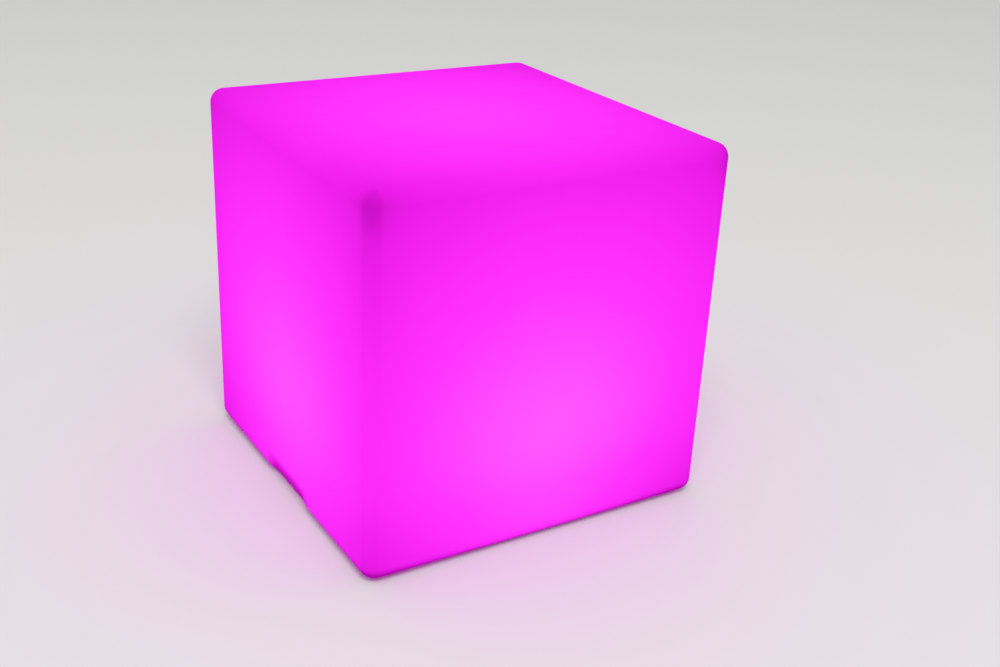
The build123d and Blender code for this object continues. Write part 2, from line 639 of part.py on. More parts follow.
def cap(radius, height, base):
    """A solid spherical cap, flat side down."""
    ball = (radius**2 + height**2) / (2 * height)
    return (Pos(0, 0, base + height - ball) * Sphere(ball)) & disc(radius, base, base + height)


def light_dome():
    """The clear dome over the emitters: a thin spherical cap on a flat screw flange."""
    flange = disc(CASE_RADIUS - CASE_EDGE, DOME_SEAT, DOME_FLANGE_TOP)
    body = flange.fuse(cap(DOME_RADIUS, DOME_HEIGHT, DOME_FLANGE_TOP))
    inner_radius = DOME_RADIUS - DOME_WALL
    hollow = disc(inner_radius, DOME_SEAT - PAST, DOME_FLANGE_TOP).fuse(
        cap(inner_radius, DOME_HEIGHT - DOME_WALL, DOME_FLANGE_TOP)
    )
    holes = [
        disc(M3_RADIUS + HOLE_PLAY, DOME_SEAT - PAST, DOME_FLANGE_TOP + PAST, x, y) for x, y in DOME_SCREWS
    ]
    return body.cut(hollow, *holes)


def dome_screws():
    """Six screws down through the dome's flange and its seal into the case."""
    return [m3_screw(x, y, DOME_FLANGE_TOP, -1) for x, y in DOME_SCREWS]


# ================================================================ battery
def cells_at(radius, length):
    """Two level cylinders side by side, where the cells lie."""
    return [
        Pos(0, BATTERY_Y + side * CELL_SPREAD, CELL_AXIS) * Rot(0, 90, 0) * Cylinder(radius, length)
        for side in (-1, 1)
    ]


def battery_cells():
    """Two cylindrical cells, each with its raised terminal, laid head to tail."""
    made = []
    for side, body in zip((-1, 1), cells_at(CELL_RADIUS, CELL_LENGTH)):
        y = BATTERY_Y + side * CELL_SPREAD
        middle = side * (CELL_LENGTH + CELL_TIP_HEIGHT) / 2
        tip = Pos(middle, y, CELL_AXIS) * Rot(0, 90, 0) * Cylinder(CELL_TIP_RADIUS, CELL_TIP_HEIGHT)
        made.append(body.fuse(tip))
    return made


def battery_cradle():
    """The tray with two round troughs and end walls, and a screw lug at each end."""
    high = PLATE_TOP + CRADLE_SIDE_HEIGHT
    tray = block(2 * CRADLE_HALF_LENGTH, 2 * CRADLE_HALF_WIDTH, PLATE_TOP, high, y=BATTERY_Y)
    tray = fillet(tray.edges().filter_by(Axis.Z), CRADLE_WALL / 2)
    lug = block(LUG_LENGTH + CRADLE_WALL, LUG_WIDTH, LUG_POST_TOP, LUG_POST_TOP + LUG_THICKNESS)
    lugs = [Pos(side * LUG_X, BATTERY_Y, 0) * lug for side in (-1, 1)]
    troughs = cells_at(CELL_RADIUS, CELL_LENGTH + 2 * CELL_TIP_HEIGHT + 2 * CRADLE_PLAY)
    holes = [
        disc(M3_RADIUS + HOLE_PLAY, LUG_POST_TOP - PAST, high, side * LUG_X, BATTERY_Y) for side in (-1, 1)
    ]
    return tray.fuse(*lugs).cut(*troughs, *holes)


def battery_strap():
    """The thin band over both cells, tucked down outside the cradle's long walls."""
    reach = CRADLE_HALF_WIDTH
    over = CELL_AXIS + CELL_RADIUS
    foot = PLATE_TOP + CRADLE_SIDE_HEIGHT / 2
    slope = CELL_RADIUS * 0.55
    outline = [
        (-reach, foot),
        (-reach, over - slope),
        (-reach + slope, over),
        (reach - slope, over),
        (reach, over - slope),
        (reach, foot),
    ]
    line = Polyline(*outline)
    band = offset(line, STRAP_THICKNESS, side=Side.LEFT)
    face = make_face(band)
    section = Plane(origin=(-STRAP_WIDTH / 2, BATTERY_Y, 0), x_dir=(0, 1, 0), z_dir=(1, 0, 0)) * face
    return extrude(section, STRAP_WIDTH)


def cradle_screws():
    """Two screws through the cradle's lugs."""
    return [m3_screw(side * LUG_X, BATTERY_Y, LUG_POST_TOP + LUG_THICKNESS, -1) for side in (-1, 1)]


# ================================================================ driver board
def control_board():
    """The driver board with rounded corners and its four screw holes."""
    board = block(BOARD_LENGTH, BOARD_WIDTH, BOARD_UNDER, BOARD_TOP, y=BOARD_Y)
    board = fillet(board.edges().filter_by(Axis.Z), BOARD_POST_INSET / 2)
    holes = [
        disc(M3_RADIUS + HOLE_PLAY, BOARD_UNDER - PAST, BOARD_TOP + PAST, x, y) for x, y in BOARD_POSTS
    ]
    return board.cut(*holes)


def control_chips():
    """The controller, the driver transistors and the wound coil, spread as shares of the board."""
    chips = []
    for along, across, length, width, height in (
        (0.03, -0.16, 10.0, 10.0, 1.4),
        (-0.145, -0.24, 5.0, 4.0, 1.5),
        (-0.145, -0.05, 5.0, 4.0, 1.5),
        (0.195, -0.21, 6.5, 6.0, 2.2),
    ):
        x, y = BOARD_LENGTH * along, BOARD_Y + BOARD_WIDTH * across
        chips.append(block(length, width, BOARD_TOP, BOARD_TOP + height, x, y))
    x, y = BOARD_LENGTH * -0.32, BOARD_Y + BOARD_WIDTH * 0.05
    coil = disc(COIL_RADIUS, BOARD_TOP, BOARD_TOP + COIL_HEIGHT, x, y)
    low, high = BOARD_TOP + COIL_HEIGHT / 4, BOARD_TOP + COIL_HEIGHT * 3 / 4
    groove = ring(COIL_RADIUS + PAST, COIL_RADIUS - COIL_GROOVE, low, high, x, y)
    chips.append(coil - groove)
    return chips


def header_spots():
    """Where the four plug headers stand: the switch's, the inlet's, the battery's and the lights'."""
    side = BOARD_LENGTH / 2 - HEADER_WIDTH / 2
    back = BOARD_Y + BOARD_WIDTH / 2 - HEADER_WIDTH / 2
    return {
        "switch": (side, PANEL_Y, 90),
        "inlet": (-side, PANEL_Y, 90),
        "battery": (BOARD_LENGTH / 4, back, 0),
        "lights": (0.0, back, 0),
    }


def board_connectors():
    """Four moulded plug headers on the board and one on the light board, each with its slot."""
    made = []
    places = [(x, y, turn, BOARD_TOP) for x, y, turn in header_spots().values()]
    places.append((LEAD_HOLE_RADIUS + HEADER_LENGTH, 0.0, 90, LIGHT_BOARD_TOP))
    for x, y, turn, low in places:
        body = block(HEADER_LENGTH, HEADER_WIDTH, low, low + HEADER_HEIGHT)
        slot = block(
            HEADER_LENGTH - 2, HEADER_WIDTH - 2, low + HEADER_HEIGHT - 1, low + HEADER_HEIGHT + PAST
        )
        made.append(Pos(x, y, 0) * Rot(0, 0, turn) * (body - slot))
    return made


def board_screws():
    """Four screws that hold the driver board on its posts."""
    return [m3_screw(x, y, BOARD_TOP, -1) for x, y in BOARD_POSTS]


# ================================================================ push button and charging inlet
def panel_body(x, end):
    """The flanged and threaded barrel that the button and the inlet share, closed at its end."""
    flange = disc(PANEL_FLANGE_RADIUS, PANEL_FACE, PANEL_SEAT, x, PANEL_Y)
    flange = fillet(rim_edges(flange, PANEL_FACE, PANEL_FLANGE_RADIUS), PANEL_FLANGE_EDGE)
    return flange.fuse(disc(PANEL_THREAD_RADIUS, PANEL_SEAT - PAST, end, x, PANEL_Y))


def terminals(x, low):
    """The two solder tabs on a panel part's closed end."""
    return [
        block(TERMINAL_THICKNESS, TERMINAL_WIDTH, low - PAST, low + TERMINAL_HEIGHT, x + offset, PANEL_Y)
        for offset in (-TERMINAL_OFFSET, TERMINAL_OFFSET)
    ]


def switch_body():
    """The push switch's body: a bore for the cap, and above its ledge the spring's chamber."""
    body = panel_body(BUTTON_X, SWITCH_END).fuse(*terminals(BUTTON_X, SWITCH_END))
    bore = disc(BUTTON_RADIUS + BUTTON_PLAY, PANEL_FACE - PAST, SWITCH_LEDGE + PAST, BUTTON_X, PANEL_Y)
    chamber = disc(SWITCH_CHAMBER_RADIUS, SWITCH_LEDGE, SWITCH_ROOF, BUTTON_X, PANEL_Y)
    return body.cut(bore, chamber)


def power_button():
    """The push button: a dished cap with a lip that keeps it in, and a stem inside the spring."""
    low = PANEL_FACE - BUTTON_PROUD
    cap_body = disc(BUTTON_RADIUS, low, BUTTON_LIP_UNDER + PAST, BUTTON_X, PANEL_Y)
    cap_body = fillet(rim_edges(cap_body, low, BUTTON_RADIUS), PANEL_FLANGE_EDGE)
    dish_centre = low + BUTTON_DISH_DEPTH - BUTTON_DISH_RADIUS
    dish = Pos(BUTTON_X, PANEL_Y, dish_centre) * Sphere(BUTTON_DISH_RADIUS)
    lip = disc(BUTTON_RADIUS + BUTTON_LIP, BUTTON_LIP_UNDER, BUTTON_LIP_TOP, BUTTON_X, PANEL_Y)
    stem_top = BUTTON_LIP_TOP + BUTTON_STEM_LENGTH
    stem = disc(BUTTON_STEM_RADIUS, BUTTON_LIP_TOP - PAST, stem_top, BUTTON_X, PANEL_Y)
    return (cap_body - dish).fuse(lip, stem)


def button_spring():
    """The return spring between the button's lip and the switch's closed end."""
    low = BUTTON_LIP_TOP + SPRING_WIRE_RADIUS + BUTTON_PLAY
    high = SWITCH_ROOF - SPRING_WIRE_RADIUS
    coil = Helix(pitch=(high - low) / SPRING_TURNS, height=high - low, radius=SPRING_RADIUS)
    section = Plane(origin=coil @ 0, z_dir=coil % 0) * Circle(SPRING_WIRE_RADIUS)
    return Pos(BUTTON_X, PANEL_Y, low) * sweep(section, path=coil, is_frenet=True)


def panel_seals():
    """The two washers under the flanges of the switch and the inlet."""
    return [
        ring(PANEL_FLANGE_RADIUS, PANEL_THREAD_RADIUS + HOLE_PLAY, PANEL_SEAT, PLATE_UNDER, x, y)
        for x, y in PANEL_SPOTS
    ]


def panel_nuts():
    """The two hexagon nuts that clamp the switch and the inlet in the plate."""
    made = []
    for x, y in PANEL_SPOTS:
        hexagon = RegularPolygon(PANEL_NUT_FLATS / 2, 6, major_radius=False)
        body = extrude(Pos(x, y, PLATE_TOP) * hexagon, PANEL_NUT_THICKNESS)
        top = PLATE_TOP + PANEL_NUT_THICKNESS
        bore = disc(PANEL_THREAD_RADIUS + THREAD_PLAY, PLATE_TOP - PAST, top + PAST, x, y)
        made.append(body - bore)
    return made


def charging_jack():
    """The charging inlet's body, with the round socket for the charger's plug."""
    body = panel_body(INLET_X, INLET_END).fuse(*terminals(INLET_X, INLET_END))
    socket = disc(INLET_BORE_RADIUS, PANEL_FACE - PAST, PANEL_FACE + INLET_BORE_DEPTH, INLET_X, PANEL_Y)
    pin_hole = disc(INLET_PIN_RADIUS + THREAD_PLAY, PANEL_FACE, INLET_END - PAST, INLET_X, PANEL_Y)
    return body.cut(socket, pin_hole)


def jack_pin():
    """The inlet's centre pin, round-ended and set back from the mouth."""
    low = PANEL_FACE + INLET_PIN_SETBACK
    pin = disc(INLET_PIN_RADIUS, low, INLET_END - PAST, INLET_X, PANEL_Y)
    return fillet(rim_edges(pin, low, INLET_PIN_RADIUS), INLET_PIN_RADIUS / 2)


def port_plug():
    """The silicone dust plug: a flat cap with a stub, a pull tab and the moving end of its tether."""
    low = PLUG_TOP - PLUG_THICKNESS
    face = disc(PLUG_RADIUS, low, PLUG_TOP, INLET_X, PANEL_Y)
    face = fillet(rim_edges(face, low, PLUG_RADIUS), PLUG_EDGE)
    stub = Pos(INLET_X, PANEL_Y, PLUG_TOP - PAST) * Cone(
        PLUG_STUB_RADIUS, PLUG_STUB_TIP_RADIUS, PLUG_STUB_LENGTH + PAST, align=BOTTOM
    )
    tab_x = INLET_X + PLUG_RADIUS + PLUG_TAB_LENGTH / 2 - PAST / 2
    thin = PLUG_TOP - TETHER_THICKNESS
    tab = block(PLUG_TAB_LENGTH + PAST, TETHER_WIDTH, thin, PLUG_TOP, tab_x, PANEL_Y)
    strap = block(TETHER_REACH, TETHER_WIDTH, thin, PLUG_TOP, (INLET_X + WEB_X) / 2, PANEL_Y)
    web = Pos(WEB_X, PANEL_Y, WEB_Z) * Rot(90, 0, 0) * Cylinder(WEB_RADIUS, TETHER_WIDTH)
    return face.fuse(stub, tab, strap, web)


def plug_anchor():
    """The fixed end of the plug's tether: a button with a barbed stem pushed through the plate."""
    low = PLATE_UNDER - ANCHOR_THICKNESS
    head = disc(ANCHOR_RADIUS, low, PLATE_UNDER, ANCHOR_X, PANEL_Y)
    stem = disc(ANCHOR_STEM_RADIUS, PLATE_UNDER - PAST, PLATE_TOP + PAST, ANCHOR_X, PANEL_Y)
    barb = Pos(ANCHOR_X, PANEL_Y, PLATE_TOP) * Cone(
        ANCHOR_BARB_RADIUS, ANCHOR_STEM_RADIUS / 2, ANCHOR_BARB_HEIGHT, align=BOTTOM
    )
    arm = block(
        ANCHOR_OFFSET, TETHER_WIDTH, WEB_Z, PLATE_UNDER - PAST / 4, (WEB_X + ANCHOR_X) / 2, PANEL_Y
    )
    round_web = Cylinder(WEB_RADIUS + WEB_PLAY, TETHER_WIDTH + PAST)
    return head.fuse(stem, barb, arm) - Pos(WEB_X, PANEL_Y, WEB_Z) * Rot(90, 0, 0) * round_web


def charge_indicator():
    """The light pipe that shows the charging light on the underside."""
    flange = disc(PIPE_FLANGE_RADIUS, PLATE_UNDER - PIPE_FLANGE_THICKNESS, PLATE_UNDER, 0, PIPE_Y)
    return flange.fuse(disc(PIPE_RADIUS, PLATE_UNDER - PAST / 2, BOARD_UNDER - PIPE_GAP, 0, PIPE_Y))


# ================================================================ inner leads
def leads():
    """The sleeved leads inside the case, each from its part's terminals to its header."""
    spots = header_spots()
    plug_z = BOARD_TOP + HEADER_HEIGHT / 2
    out = BOARD_LENGTH / 2 + LEAD_RUN_OUT
    runs = {}
    for name, x, end in (("switch", BUTTON_X, SWITCH_END), ("inlet", INLET_X, INLET_END)):
        side = 1 if x > 0 else -1
        start_z = end - LEAD_RADIUS * 2
        runs[f"{name}_lead"] = [
            (x + side * PANEL_THREAD_RADIUS, PANEL_Y, start_z),
            (side * out, PANEL_Y, start_z),
            (side * out, PANEL_Y, plug_z),
            (spots[name][0] + side * HEADER_WIDTH / 2, PANEL_Y, plug_z),
        ]
    x, y, _ = spots["battery"]
    cradle_side = BATTERY_Y - CRADLE_HALF_WIDTH
    half_way = (cradle_side + BOARD_Y + BOARD_WIDTH / 2) / 2
    cell_z = PLATE_TOP + CRADLE_SIDE_HEIGHT / 2
    runs["battery_lead"] = [
        (x, cradle_side, cell_z),
        (x, half_way, cell_z),
        (x, half_way, plug_z),
        (x, y + HEADER_WIDTH / 2, plug_z),
    ]
    x, y, _ = spots["lights"]
    roof_z = (BOARD_TOP + HEADER_HEIGHT + CASE_ROOF) / 2 + LEAD_RADIUS
    light_plug_z = LIGHT_BOARD_TOP + HEADER_HEIGHT / 2
    runs["light_lead"] = [
        (x, y, BOARD_TOP + HEADER_HEIGHT - 1),
        (x, y, roof_z),
        (0, 0, roof_z),
        (0, 0, light_plug_z),
        (LEAD_HOLE_RADIUS + HEADER_LENGTH - HEADER_WIDTH / 2, 0, light_plug_z),
    ]
    return runs


# ================================================================ the files
PIECES = {
    "diffuser_shell": diffuser_shell,
    "threaded_inserts": threaded_inserts,
    "rubber_feet": rubber_feet,
    "base_gasket": base_gasket,
    "base_plate": base_plate,
    "base_screws": base_screws,
    "driver_housing": driver_housing,
    "housing_gasket": housing_gasket,
    "housing_screws": housing_screws,
    "heat_spreader": heat_spreader,
    "led_board": led_board,
    "led_packages": led_packages,
    "remote_receiver": remote_receiver,
    "light_screws": light_screws,
    "dome_gasket": dome_gasket,
    "light_dome": light_dome,
    "dome_screws": dome_screws,
    "battery_cells": battery_cells,
    "battery_cradle": battery_cradle,
    "battery_strap": battery_strap,
    "cradle_screws": cradle_screws,
    "control_board": control_board,
    "control_chips": control_chips,
    "board_connectors": board_connectors,
    "board_screws": board_screws,
    "switch_body": switch_body,
    "power_button": power_button,
    "button_spring": button_spring,
    "panel_seals": panel_seals,
    "panel_nuts": panel_nuts,
    "charging_jack": charging_jack,
    "jack_pin": jack_pin,
    "port_plug": port_plug,
    "plug_anchor": plug_anchor,
    "charge_indicator": charge_indicator,
}


def write(name, shape):
    """Writes one node. A list of solids becomes one group of separate solids."""
    made = Compound(children=shape) if isinstance(shape, list) else shape
    export_step(made, f"parts/{name}.step")


os.makedirs("parts", exist_ok=True)
for node, make in PIECES.items():
    write(node, make())
for node, points in leads().items():
    write(node, lead(points))
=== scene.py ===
import logging
from dataclasses import dataclass, field
from enum import Enum

import bpy
import numpy as np
from mathutils import Matrix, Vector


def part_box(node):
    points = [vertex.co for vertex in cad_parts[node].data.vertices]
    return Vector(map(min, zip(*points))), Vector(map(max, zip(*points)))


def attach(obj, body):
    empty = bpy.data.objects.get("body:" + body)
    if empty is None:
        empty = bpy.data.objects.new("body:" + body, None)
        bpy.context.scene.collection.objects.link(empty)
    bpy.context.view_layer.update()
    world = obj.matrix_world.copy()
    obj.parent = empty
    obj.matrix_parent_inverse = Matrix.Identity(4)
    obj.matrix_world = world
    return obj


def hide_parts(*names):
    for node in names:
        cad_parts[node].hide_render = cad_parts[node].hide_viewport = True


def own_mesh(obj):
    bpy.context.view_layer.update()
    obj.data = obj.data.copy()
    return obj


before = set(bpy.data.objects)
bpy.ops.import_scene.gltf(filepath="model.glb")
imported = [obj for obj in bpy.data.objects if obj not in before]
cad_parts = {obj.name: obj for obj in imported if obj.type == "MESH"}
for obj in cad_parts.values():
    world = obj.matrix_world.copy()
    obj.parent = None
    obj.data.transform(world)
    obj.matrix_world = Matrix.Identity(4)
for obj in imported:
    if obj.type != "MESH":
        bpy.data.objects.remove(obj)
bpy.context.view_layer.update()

log = logging.getLogger("cube_light")
MM = 0.001  # every size below is in millimetres, and meshes are in metres
SLACK = 0.01  # what counts as equal
Array = np.ndarray
Colour, Place = tuple[float, float, float, float], tuple[float, float, float]
Material, Piece = bpy.types.Material, bpy.types.Object
Socket, Tree = bpy.types.NodeSocket, bpy.types.NodeTree


# ---- shared helpers
def linear(shade: str) -> Colour:
    """Turns an sRGB hex colour into the linear colour that Blender works in.

    Args:
        shade: six hex digits, such as "e4e4e0".

    Returns:
        Red, green, blue and an alpha of 1.
    """
    part = np.array(list(bytes.fromhex(shade))) / 255
    flat = np.where(part <= 0.04045, part / 12.92, ((part + 0.055) / 1.055) ** 2.4)
    return (*map(float, flat), 1.0)


def add_node(tree: Tree, kind: str, settings: dict | None = None, inputs: dict | None = None,
             links: dict | None = None) -> bpy.types.Node:
    """Adds one node to a material, with its settings, its fixed inputs and what feeds it.

    Args:
        tree: the node tree.
        kind: the node's type name.
        settings: properties of the node.
        inputs: values of input sockets, by socket name or number.
        links: output sockets to connect, by the input socket's name or number.

    Returns:
        The node.
    """
    node = tree.nodes.new(kind)
    for name, value in (settings or {}).items():
        setattr(node, name, value)
    for name, value in (inputs or {}).items():
        node.inputs[name].default_value = value
    for name, source in (links or {}).items():
        tree.links.new(source, node.inputs[name])
    return node


def ramp(tree: Tree, factor: Socket, stops: list[tuple[float, Colour]]) -> Socket:
    """Adds a colour ramp.

    Args:
        tree: the node tree.
        factor: what the ramp reads.
        stops: place and linear colour of each stop, from low to high.

    Returns:
        The ramp's colour.
    """
    node = add_node(tree, "ShaderNodeValToRGB", links={"Fac": factor})
    band = node.color_ramp
    while len(band.elements) < len(stops):
        band.elements.new(1.0)
    for element, (place, colour) in zip(band.elements, stops):
        element.position = place
        element.color = colour
    return node.outputs["Color"]


def grid_faces(rows: int, around: int, start: int = 0) -> Array:
    """Quads of a grid that closes on itself sideways, facing out where rows run down the outside.

    Args:
        rows: how many rings of points.
        around: points in a ring.
        start: number of the first point.

    Returns:
        Point numbers, four to a face.
    """
    i, j = np.meshgrid(np.arange(rows - 1), np.arange(around), indexing="ij")
    k = (j + 1) % around
    quads = np.stack([i * around + j, (i + 1) * around + j, (i + 1) * around + k, i * around + k], -1)
    return quads.reshape(-1, 4) + start


def fan(pole: int, start: int, count: int) -> Array:
    """Triangles from one point to a ring of others, each side of the ring in turn."""
    ring = np.arange(count)
    return np.stack([np.full(count, pole), start + ring, start + (ring + 1) % count], -1)


def mesh_piece(name: str, points: Array, faces: list[Array]) -> Piece:
    """Puts worked-out points and faces into a new object at the origin.

    Args:
        name: the piece's name.
        points: x, y and z in metres, one row to a point.
        faces: arrays of point numbers, one array for each count of corners.

    Returns:
        The object, shaded smooth.
    """
    corners = np.concatenate([f.ravel() for f in faces]).astype(np.int32)
    totals = np.concatenate([np.full(len(f), f.shape[1]) for f in faces]).astype(np.int32)
    mesh = bpy.data.meshes.new(name)
    mesh.vertices.add(len(points))
    mesh.vertices.foreach_set("co", points.astype(np.float32).ravel())
    mesh.loops.add(len(corners))
    mesh.loops.foreach_set("vertex_index", corners)
    mesh.polygons.add(len(totals))
    starts = np.concatenate([[0], np.cumsum(totals)[:-1]])
    mesh.polygons.foreach_set("loop_start", starts.astype(np.int32))
    mesh.polygons.foreach_set("loop_total", totals)
    mesh.update(calc_edges=True)
    mesh.validate()
    mesh.polygons.foreach_set("use_smooth", np.full(len(mesh.polygons), True))
    piece = bpy.data.objects.new(name, mesh)
    bpy.context.scene.collection.objects.link(piece)
    return piece


def eased(share: Array) -> Array:
    """A smooth step from 0 to 1."""
    share = np.clip(share, 0, 1)
    return share * share * (3 - 2 * share)


def round_outline(radius: float, x: float, y: float, count: int = 48) -> Array:
    """Points round a circle, anticlockwise."""
    angle = np.linspace(0, 2 * np.pi, count, endpoint=False)
    return np.stack([x + radius * np.cos(angle), y + radius * np.sin(angle)], -1)


def tunnel_outline(width: float, low: float, top: float, corner: float, steps: int = 8) -> Array:
    """A box's section whose two upper corners are quarter circles.

    Args:
        width: full width.
        low: height of the flat bottom.
        top: height of the flat top.
        corner: radius of the upper corners.
        steps: points in a corner.

    Returns:
        Points, anticlockwise, across and up.
    """
    angle = np.linspace(0, np.pi / 2, steps)
    reach, rise = width / 2 - corner, top - corner
    right = np.stack([reach + corner * np.cos(angle), rise + corner * np.sin(angle)], -1)
    left = right[::-1] * [-1, 1]
    return np.concatenate([[[-width / 2, low], [width / 2, low]], right, left])


def prisms(name: str, solids: list[tuple[Array, float, float, int]]) -> Piece:
    """Several closed prisms as one object: each outline swept straight between two ends.

    Args:
        name: the object's name.
        solids: outline, start, end and the axis swept along (0 for x, 2 for z).

    Returns:
        The object, in metres.
    """
    points, faces, start = [], [], 0
    for outline, low, high, axis in solids:
        count = len(outline)
        both = np.concatenate([np.column_stack([outline, np.full(count, end)]) for end in (high, low)])
        points.append(np.roll(both, axis + 1, axis=1) if axis != 2 else both)
        ring = np.arange(count)[None, :] + start
        faces += [grid_faces(2, count, start), ring, ring[:, ::-1] + count]
        start += 2 * count
    return mesh_piece(name, np.concatenate(points) * MM, faces)


def carve(piece: Piece, other: Piece, operation: str) -> None:
    """Joins other to the piece or takes it away, and then drops other.

    Args:
        piece: the piece that is changed.
        other: closed solids.
        operation: UNION or DIFFERENCE.
    """
    step = piece.modifiers.new(operation, "BOOLEAN")
    step.object, step.operation, step.solver = other, operation, "EXACT"
    made = bpy.data.meshes.new_from_object(piece.evaluated_get(bpy.context.evaluated_depsgraph_get()))
    piece.modifiers.clear()
    old, piece.data = piece.data, made
    bpy.data.meshes.remove(old)
    bpy.data.objects.remove(other)


# ---- finishes
NOISE_LOW, NOISE_HIGH = 0.3, 0.7  # nearly all values of a noise lie between these
WAVE_PERIOD = 0.3  # a wave texture repeats about every 0.3 / scale


class Process(Enum):
    """How a metal surface was made: how close its fine lines are along x, y and z, of 1."""

    TURNED = (0.12, 0.12, 1.0)  # rings round the piece's own axis
    BRUSHED = (0.02, 1.0, 0.5)  # long straight lines
    DRAWN = (1.0, 1.0, 0.2)  # very fine lines along the wire


@dataclass
class Coat:
    """A material while its patterns are added. Widths and depths are in millimetres."""

    material: Material
    tree: Tree
    surface: bpy.types.Node
    shade: str
    roughness: float

    def feed(self, name: str, source: Socket) -> None:
        """Connects a node's output to one of the surface's inputs."""
        self.tree.links.new(source, self.surface.inputs[name])

    def place(self) -> Socket:
        """The point's own place in the object, in metres."""
        return add_node(self.tree, "ShaderNodeTexCoord").outputs["Object"]

    def speckle(self, width: float, detail: float = 2.0) -> Socket:
        """Noise whose lumps are of one real width, in so many octaves."""
        return add_node(self.tree, "ShaderNodeTexNoise", None, {
            "Scale": 1 / (width * MM), "Detail": detail}, {"Vector": self.place()}).outputs["Fac"]

    def bump(self, height: Socket, depth: float) -> None:
        """Lets a height pattern tilt the surface.

        Args:
            height: the pattern.
            depth: its full depth.
        """
        node = add_node(self.tree, "ShaderNodeBump", inputs={"Distance": depth * MM, "Strength": 1.0},
                        links={"Height": height})
        self.feed("Normal", node.outputs["Normal"])

    def spread(self, factor: Socket, less: float, more: float) -> None:
        """Lets a pattern move the roughness about its own value.

        Args:
            factor: the pattern.
            less: what the roughness loses where the pattern is low.
            more: what it gains where the pattern is high.
        """
        node = add_node(self.tree, "ShaderNodeMapRange", inputs={
            "From Min": NOISE_LOW, "From Max": NOISE_HIGH, "To Min": self.roughness - less,
            "To Max": self.roughness + more}, links={"Value": factor})
        self.feed("Roughness", node.outputs["Result"])

    def shades(self, factor: Socket, light: str) -> None:
        """Lets a pattern move the base colour towards a lighter shade."""
        stops = [(NOISE_LOW, linear(self.shade)), (NOISE_HIGH, linear(light))]
        self.feed("Base Color", ramp(self.tree, factor, stops))


@dataclass(frozen=True)
class Finish:
    """What every finish has: its name, the record's slot, a base colour and a roughness."""

    name: str
    slot: str
    shade: str
    roughness: float
    light: str = "ffffff"  # the paler shade of its patches or lines

    def start(self, values: dict | None = None) -> Coat:
        """Makes the material with a Principled surface and nothing else.

        Args:
            values: further values of the surface, by the input's name.

        Returns:
            The material, ready for its patterns.
        """
        material = bpy.data.materials.new(self.name)
        material.use_nodes = True
        material.diffuse_color = linear(self.shade)
        tree = material.node_tree
        tree.nodes.clear()
        surface = add_node(tree, "ShaderNodeBsdfPrincipled", inputs={
            "Base Color": linear(self.shade), "Roughness": self.roughness, **(values or {})})
        add_node(tree, "ShaderNodeOutputMaterial", links={"Surface": surface.outputs["BSDF"]})
        return Coat(material, tree, surface, self.shade, self.roughness)


@dataclass(frozen=True)
class GlowingPolyethylene(Finish):
    """Natural linear low-density polyethylene, rotationally moulded, lit from inside.

    The milky wall spreads the light, so the surface shows smooth pools of light and no lamp; these
    pools and the shade between them are painted light, emitted by the wall itself. Melted powder
    leaves it waxy with a very faint orange peel, and cooling leaves slight clouding. The light inside
    is far stronger than a room's, so the wall's own colour and its reflection hardly show.
    """

    peel: float = 2.6  # width of an orange-peel lump
    grain: float = 0.5  # width of the powder's grain
    grain_share: float = 0.25  # its height, as a share of the peel's
    depth: float = 0.03  # of the peel
    cloud: float = 60.0  # width of a cloud
    clouding: float = 0.03  # what the clouds change in the level
    sheen: float = 25.0  # width of a patch of one sheen
    reflection: float = 0.001

    def material(self) -> Material:
        """Builds the material, which reads the attribute "glow".

        Returns:
            The material, dark where glow is 0 and hottest where it is 1.
        """
        coat = self.start({
            "Emission Strength": 1.0, "Specular IOR Level": self.reflection, "IOR": 1.5})
        glow = add_node(coat.tree, "ShaderNodeAttribute", {"attribute_name": "glow"}).outputs["Fac"]
        drift = add_node(coat.tree, "ShaderNodeMath", {"operation": "MULTIPLY_ADD"},
                         {1: self.clouding, 2: -self.clouding / 2},
                         {0: coat.speckle(self.cloud, detail=3.0)})
        level = add_node(coat.tree, "ShaderNodeMath", {"operation": "ADD"},
                         links={0: glow, 1: drift.outputs["Value"]})
        # painted light: the level of painted light and shade becomes the emitted colour
        light = ramp(coat.tree, level.outputs["Value"], [
            (0.00, linear("4a0048")), (0.08, linear("8c0488")), (0.18, linear("c80ec4")),
            (0.30, linear("ea1ce8")), (0.42, linear("fa28f8")), (0.52, linear("ff32ff")),
            (0.90, linear("ff5cff")), (1.00, linear("ff66ff")),
        ])
        coat.feed("Emission Color", light)
        lumps = add_node(coat.tree, "ShaderNodeMath", {"operation": "MULTIPLY_ADD"},
                         {1: self.grain_share},
                         {0: coat.speckle(self.grain), 2: coat.speckle(self.peel)})
        coat.bump(lumps.outputs["Value"], self.depth)
        coat.spread(coat.speckle(self.sheen), less=0.04, more=0.05)
        return coat.material


@dataclass(frozen=True)
class MouldedPlastic(Finish):
    """Injection-moulded plastic with a spark-eroded or polished mould's texture.

    The mould's fine pits give a soft even sheen. Handling and flow lines vary it a little.
    """

    pits: float = 0.35  # width of a pit; drawn a little coarse so that it shows
    depth: float = 0.02  # of a pit
    flow: float = 18.0  # width of a patch left by the plastic's flow
    handled: float = 6.0  # width of a patch of one sheen

    def material(self) -> Material:
        """Builds the material.

        Returns:
            The material.
        """
        coat = self.start({"IOR": 1.53})
        coat.shades(coat.speckle(self.flow, detail=3.0), self.light)
        coat.spread(coat.speckle(self.handled), less=0.06, more=0.06)
        coat.bump(coat.speckle(self.pits), self.depth)
        return coat.material


